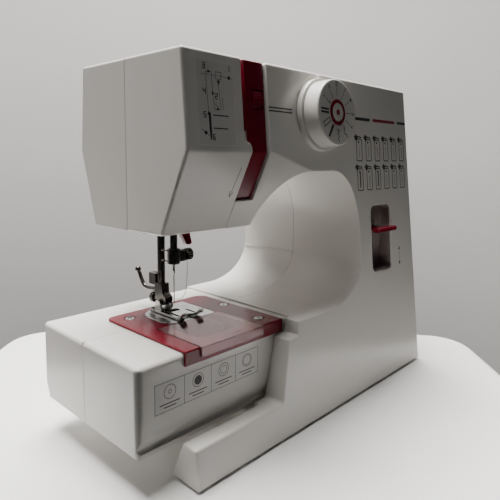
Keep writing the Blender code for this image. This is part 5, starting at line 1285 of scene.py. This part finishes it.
def reverse_lever():
    """Red lever that shows through the slot."""
    y, z = 58, 143
    x0, x1 = SLOT[0] + 1.2, SLOT[1] - 1.2
    section = rounded(5.4, 13.4, z - 2.2, z + 2.2, (2, 2, 2, 2), 6)
    grip = softened(prism(section, "x", x0, x1), 0.8, 3, 50)
    arm = box(224, 232, 12, y + 5, z - 2, z + 2)
    hub = rod((224, y, z), (232, y, z), 5.5)
    pin = rod((214, y, z), (242, y, z), 2.5)
    stands_for("reverse_lever", fused(grip, arm, hub, pin))


def small_fittings():
    """Small nodes whose CAD shape is right: they only get rounded edges."""
    for node, width in (("take_up_lever", 0.4), ("presser_lifter", 0.9), ("spool_pin", 0.5),
                        ("winder_spindle", 0.3),
                        ("power_switch", 0.6), ("power_inlet", 0.5), ("lamp_lens", 0.3), ("head_screw", 0.2),
                        ("base_plate", 0.4), ("foot_front_left", 0.4), ("foot_front_right", 0.4),
                        ("foot_rear_left", 0.4), ("foot_rear_right", 0.4), ("presser_block", 0.6),
                        ("bobbin", 0.2), ("bobbin_case", 0.4), ("feed_dog", 0.15)):
        refined(node, width)


for make in (thread_strip, tension_dial, bars, needle, needle_clamp, clamp_screw, presser_foot, foot_ankle,
             ankle_screw, foot_release_lever, threader_tab, presser_spring, upper_thread, plate_cover,
             needle_plate, bobbin_cover, plate_screws, dial_ring, stitch_dial, dial_cap, hand_wheel,
             reverse_lever, small_fittings):
    make()


# --- printing
def panel_point(u, v, height):
    """Point on the leaning front plane: u is x, v is z."""
    return Vector((u, LEAN * v, v)) + PANEL_NORMAL * height


def arm_point(u, v, height):
    return Vector((u, ARM_FRONT - height, v))


def chin_point(u, v, height):
    """Point on the head's lower front slope."""
    surface = Vector((u, SHOULDER_Y + CHIN_SLOPE * (SHOULDER_Z - v), v))
    return surface + Vector((0, -1, -CHIN_SLOPE)).normalized() * height


def dial_point(u, v, height):
    """Point on the stitch dial's face, from its middle."""
    upward = Vector((0, LEAN, 1)).normalized()
    centre = Vector((DIAL_X, LEAN * DIAL_Z, DIAL_Z)) + PANEL_NORMAL * DIAL_HEIGHT
    return centre + Vector((1, 0, 0)) * u + upward * v + PANEL_NORMAL * height


def printed(name, shapes, surface, finish, body=ROOT, low=-0.02, high=0.05):
    """Thin raised print: each flat outline becomes a slab lying on a surface."""
    bm = bmesh.new()
    for outline in shapes:
        slab(bm, *([surface(u, v, height) for u, v in outline] for height in (low, high)))
    return piece(name, bm, finish, body)


def stroke(points, width, closed=False):
    """Outlines of a drawn line, one bar for each straight part."""
    bars = []
    ends = list(zip(points, points[1:] + points[:1])) if closed else list(zip(points, points[1:]))
    for a, b in ends:
        a, b = Vector(a), Vector(b)
        along = (b - a).normalized() * (width / 2)
        side = Vector((-along.y, along.x))
        bars.append([tuple(p) for p in (a - along - side, b + along - side, b + along + side,
                                        a - along + side)])
    return bars


def disc(x, y, radius, steps=32):
    return [arc(x, y, radius, radius, 0, 360, steps)[:-1]]


def circle(x, y, radius, width):
    return stroke(arc(x, y, radius, radius, 0, 360, 36)[:-1], width, True)


def triangle(x, y, size, turn=0):
    """Filled triangle that points up, or turned by an angle in degrees."""
    return [[(x + size * sine(turn + a), y + size * cosine(turn + a)) for a in (0, 130, 230)]]


def diamond(x, y, size):
    return [[(x, y + size), (x + size, y), (x, y - size), (x - size, y)]]


SEGMENTS = {"a": ((0, 2), (1, 2)), "b": ((1, 2), (1, 1)), "c": ((1, 1), (1, 0)), "d": ((0, 0), (1, 0)),
            "e": ((0, 1), (0, 0)), "f": ((0, 2), (0, 1)), "g": ((0, 1), (1, 1))}
FIGURES = {0: "abcdef", 1: "bc", 2: "abged", 3: "abgcd", 4: "fgbc", 5: "afgcd", 6: "afgedc"}


def figure(number, x, y, size, width):
    """A plain numeral in straight strokes, centred on a point. Size is half its height."""
    bars = []
    for letter in FIGURES[number]:
        ends = [(x + size * (u - 0.5) * 1.1, y + size * (v - 1)) for u, v in SEGMENTS[letter]]
        bars += stroke(ends, width)
    return bars


def turned_shapes(shapes, angle):
    """Shapes drawn upright above the middle, turned clockwise by an angle in degrees."""
    c, s = cosine(angle), sine(angle)
    return [[(u * c + v * s, -u * s + v * c) for u, v in outline] for outline in shapes]


def dial_marks():
    """Plain stitch symbols round the dial's face, and a round dot in the middle of its cap."""
    near, far = 11.6, 18.6
    zigzag = [(0.9 * (-1) ** i, near + 1 + 1.9 * i) for i in range(6)]
    steps = [(-0.9, near + 1), (-0.9, near + 3.6), (0.7, near + 4.6), (0.7, near + 7.2), (-0.7, near + 8.2),
             (-0.7, near + 10.8)]
    marks = []
    symbols = {0: stroke([(0, near + 1), (0, far)], 0.35) + figure(0, 0, 21.6, 1.5, 0.5),
               30: stroke([(0, near), (0.4, far)], 0.4) + figure(1, 0, 21.6, 1.5, 0.55),
               60: stroke([(0, near + 1), (0, far)], 0.35) + triangle(0, 21.4, 1.9, 180),
               90: stroke([(0, near + 0.6), (0, far)], 0.45) + figure(3, 0, 21.6, 1.4, 0.5),
               118: stroke([(0, near + 1), (0, near + 4.4)], 0.5) + disc(0, near + 6.6, 0.55)
               + figure(4, 0, 21.4, 1.4, 0.45),
               148: stroke(steps, 0.6),
               180: stroke(zigzag, 0.6),
               214: [[(-1.1, near), (1.1, near), (1.1, near + 11), (-1.1, near + 11)]],
               242: stroke([(-1.7, near + 0.6), (1.7, near + 0.6), (1.7, near + 9.4), (-1.7, near + 9.4)],
                           0.65, True),
               272: [[(-1.9, near), (-0.5, near), (-0.5, near + 10), (-1.9, near + 10)],
                     [(0.5, near), (1.9, near), (1.9, near + 10), (0.5, near + 10)]],
               303: stroke([(0.3, near), (0, near + 3), (0.4, far)], 0.4) + disc(0.2, near + 0.6, 0.8)
               + disc(0, 20.6, 0.7),
               332: stroke([(0, near), (0, far - 0.6)], 0.35) + figure(2, 0, 21.2, 1.3, 0.4)}
    for angle, shapes in symbols.items():
        marks += turned_shapes(shapes, angle)
    printed("dial_marks", marks, dial_point, INK, "stitch_selector")
    printed("dial_dot", disc(0, 0, 2.2), dial_point, RED_INK, "stitch_selector", 0.3, 0.52)


def panel_marks():
    """Lines across the upper panel, one plain red stripe between them, and a mark beside the lever."""
    z = 242.6
    black = [[(76.4, z + 0.7), (102.8, z + 0.7), (102.8, z + 1.7), (76.4, z + 1.7)],
             [(76.4, z - 1.7), (102.8, z - 1.7), (102.8, z - 0.7), (76.4, z - 0.7)],
             [(190, z - 1.3), (214.4, z - 1.3), (214.4, z + 1.3), (190, z + 1.3)],
             [(265.6, z - 1.1), (282.2, z - 1.1), (282.2, z + 1.1), (265.6, z + 1.1)]]
    printed("panel_stripe", [rounded(219.5, 260.5, z - 1.3, z + 1.3, 1.2)], panel_point, RED_INK)
    black += triangle(261, 121, 2.4) + triangle(261, 106.5, 2.4, 180)
    grey = stroke([(261, 118), (261, 110)], 0.9)
    printed("panel_lines", black, panel_point, INK)
    printed("lever_mark", grey, panel_point, GREY_INK)


def stitch_chart():
    """Two rows of small stitch pictures with their tags."""
    marks = []
    for row, (low, high) in enumerate(((206, 229), (180, 203))):
        for column in range(6):
            x = 190.4 + 15.6 * column
            top = high - 4
            marks += stroke([(x, low + 1), (x + 1, low), (x + 7.8, low), (x + 8.8, low + 1),
                             (x + 8.8, top - 1.6),
                             (x + 7.4, top), (x + 1.4, top), (x, top - 1.6)], 0.9, True)
            marks += diamond(x - 0.6, high - 2.6, 3.1)
            marks += stroke([(x + 1.2, high - 1.6), (x + 7.6, high - 2.6)], 1.1)
            marks += disc(x + 3.6, high - 6.6, 1.1, 16)
            mid = x + 4.4
            bottom = low + 2.6
            if row == 0:
                bends = [(mid + (0.9 if i % 2 else -0.9) * (column % 3) / 2,
                          bottom + 1.7 * i) for i in range(7)]
                marks += stroke(bends, 0.45)
            elif column % 2 == 0 and column < 4:
                marks += stroke([(mid, bottom + 0.6), (mid, top - 3)], 1.7)
            else:
                for i in range(5):
                    marks += stroke([(mid - 1, bottom + 2.2 * i), (mid + 1, bottom + 1 + 2.2 * i)], 0.5)
    printed("stitch_chart", marks, panel_point, INK)


def threading_label():
    """Label with the thread's path in six numbered steps, on the head's front."""
    outline = rounded(10.1, 42.6, 215.6, 268.8, 1)
    printed("threading_label", [outline], panel_point, FILM, high=0.06)
    rim = stroke(inset(outline, 0.15), 0.22, True)
    printed("threading_label_edge", rim, panel_point, PALE_INK, high=0.1)
    thin = 0.32
    steps = ((1, 38.2, 265.2), (2, 26.4, 246.6), (3, 16.9, 264.8), (4, 16.4, 249.2), (5, 15.8, 234.6),
             (6, 22.6, 220.8))
    marks = []
    for number, x, z in steps:
        marks += figure(number, x, z, 1.6, 0.6)
    marks += stroke([(18.4, 254.6), (18.5, 261.4), (23.2, 261.4), (23.6, 247), (24.4, 238.4), (29.2, 238.4)],
                    thin)
    marks += triangle(20.9, 261.6, 1.5, 90) + triangle(23.5, 248.6, 1.5) + triangle(27.2, 238.9, 1.5)
    marks += stroke([(14, 259.6), (35, 259.6), (41.6, 258.6)], 0.22) + diamond(38.4, 259.4, 1.5)
    marks += stroke([(26.4, 262), (31.4, 262), (31.4, 257.6), (26.4, 257.6)], thin, True)
    marks += triangle(28.9, 255.6, 1.9, 180) + stroke([(28.9, 254), (29.4, 243), (30, 239)], thin)
    marks += stroke([(18.3, 254), (19, 238.6), (19.6, 236)], thin) + triangle(18.9, 235.6, 1.4)
    marks += stroke([(26, 243.2), (25.4, 241.2), (27.2, 240.4)], thin)
    marks += stroke([(31.4, 246), (31.8, 238.4)], thin)
    marks += [[(18.9, 236), (20.7, 236), (20.9, 224), (20.5, 219), (19.6, 219), (19.1, 224)]]
    marks += stroke([(12.6, 225.6), (18.6, 221.6)], thin) + diamond(15.8, 223.4, 1.5)
    marks += stroke([(23, 234.6), (36, 234.6)], 0.7) + stroke([(23, 226.4), (35, 226.4)], 0.7)
    printed("threading_marks", marks, panel_point, INK, low=0.04, high=0.1)
    arrow = stroke([(52.2, 201), (50, 180.6)], 0.45) + stroke([(48.6, 184.6), (50, 180.4), (52.2, 184)], 0.45)
    printed("thread_arrow", arrow, chin_point, INK)


def arm_label():
    """Plain label on the free arm: four equal cells, each with a simple figure over two even bars."""
    left, right, low, high = -24.2, 68.4, 50.2, 69.4
    cells, line = 4, 0.32
    printed("arm_label", [rounded(left - 1.2, right + 1.2, low - 1.2, high + 1.2, 0.8)], arm_point, FILM,
            high=0.06)
    marks = stroke([(left, low), (right, low), (right, high), (left, high)], line, True)
    width = (right - left) / cells
    for i in range(cells):
        x0 = left + i * width
        mid = x0 + width / 2
        if i:
            marks += stroke([(x0, low), (x0, high)], line)
        marks += circle(mid, 62.4, 4.6, 0.4)
        if i == 1:
            marks += disc(mid, 62.4, 3.2)
        else:
            marks += circle(mid, 62.4, 1.2 + 0.8 * i, line)
        marks += stroke([(x0 + 4, 55), (x0 + width - 4, 55)], 0.7)
        marks += stroke([(x0 + 7, 52.8), (x0 + width - 7, 52.8)], 0.7)
    printed("arm_label_marks", marks, arm_point, INK, low=0.04, high=0.1)


def throat_bead():
    """Fine moulded bead across the rear half of the throat's right wall."""
    front_x = THROAT_RIGHT - THROAT_DRAFT / 2
    rear_x = THROAT_RIGHT - THROAT_DRAFT
    low, high, proud = 115.5, 116.6, 1.6
    outline = [(front_x + 0.6, PART_Y + GAP), (front_x - proud, PART_Y + GAP), (rear_x - proud, BACK_Y - 1.5),
               (rear_x + 0.6, BACK_Y - 1.5)]
    piece("throat_bead", softened(prism(outline, "z", low, high), 0.2, 2), WHITE, ROOT, ())


throat_bead()
dial_marks()
panel_marks()
stitch_chart()
threading_label()
arm_label()


make_camera()
make_stage()
dress_cad_nodes()
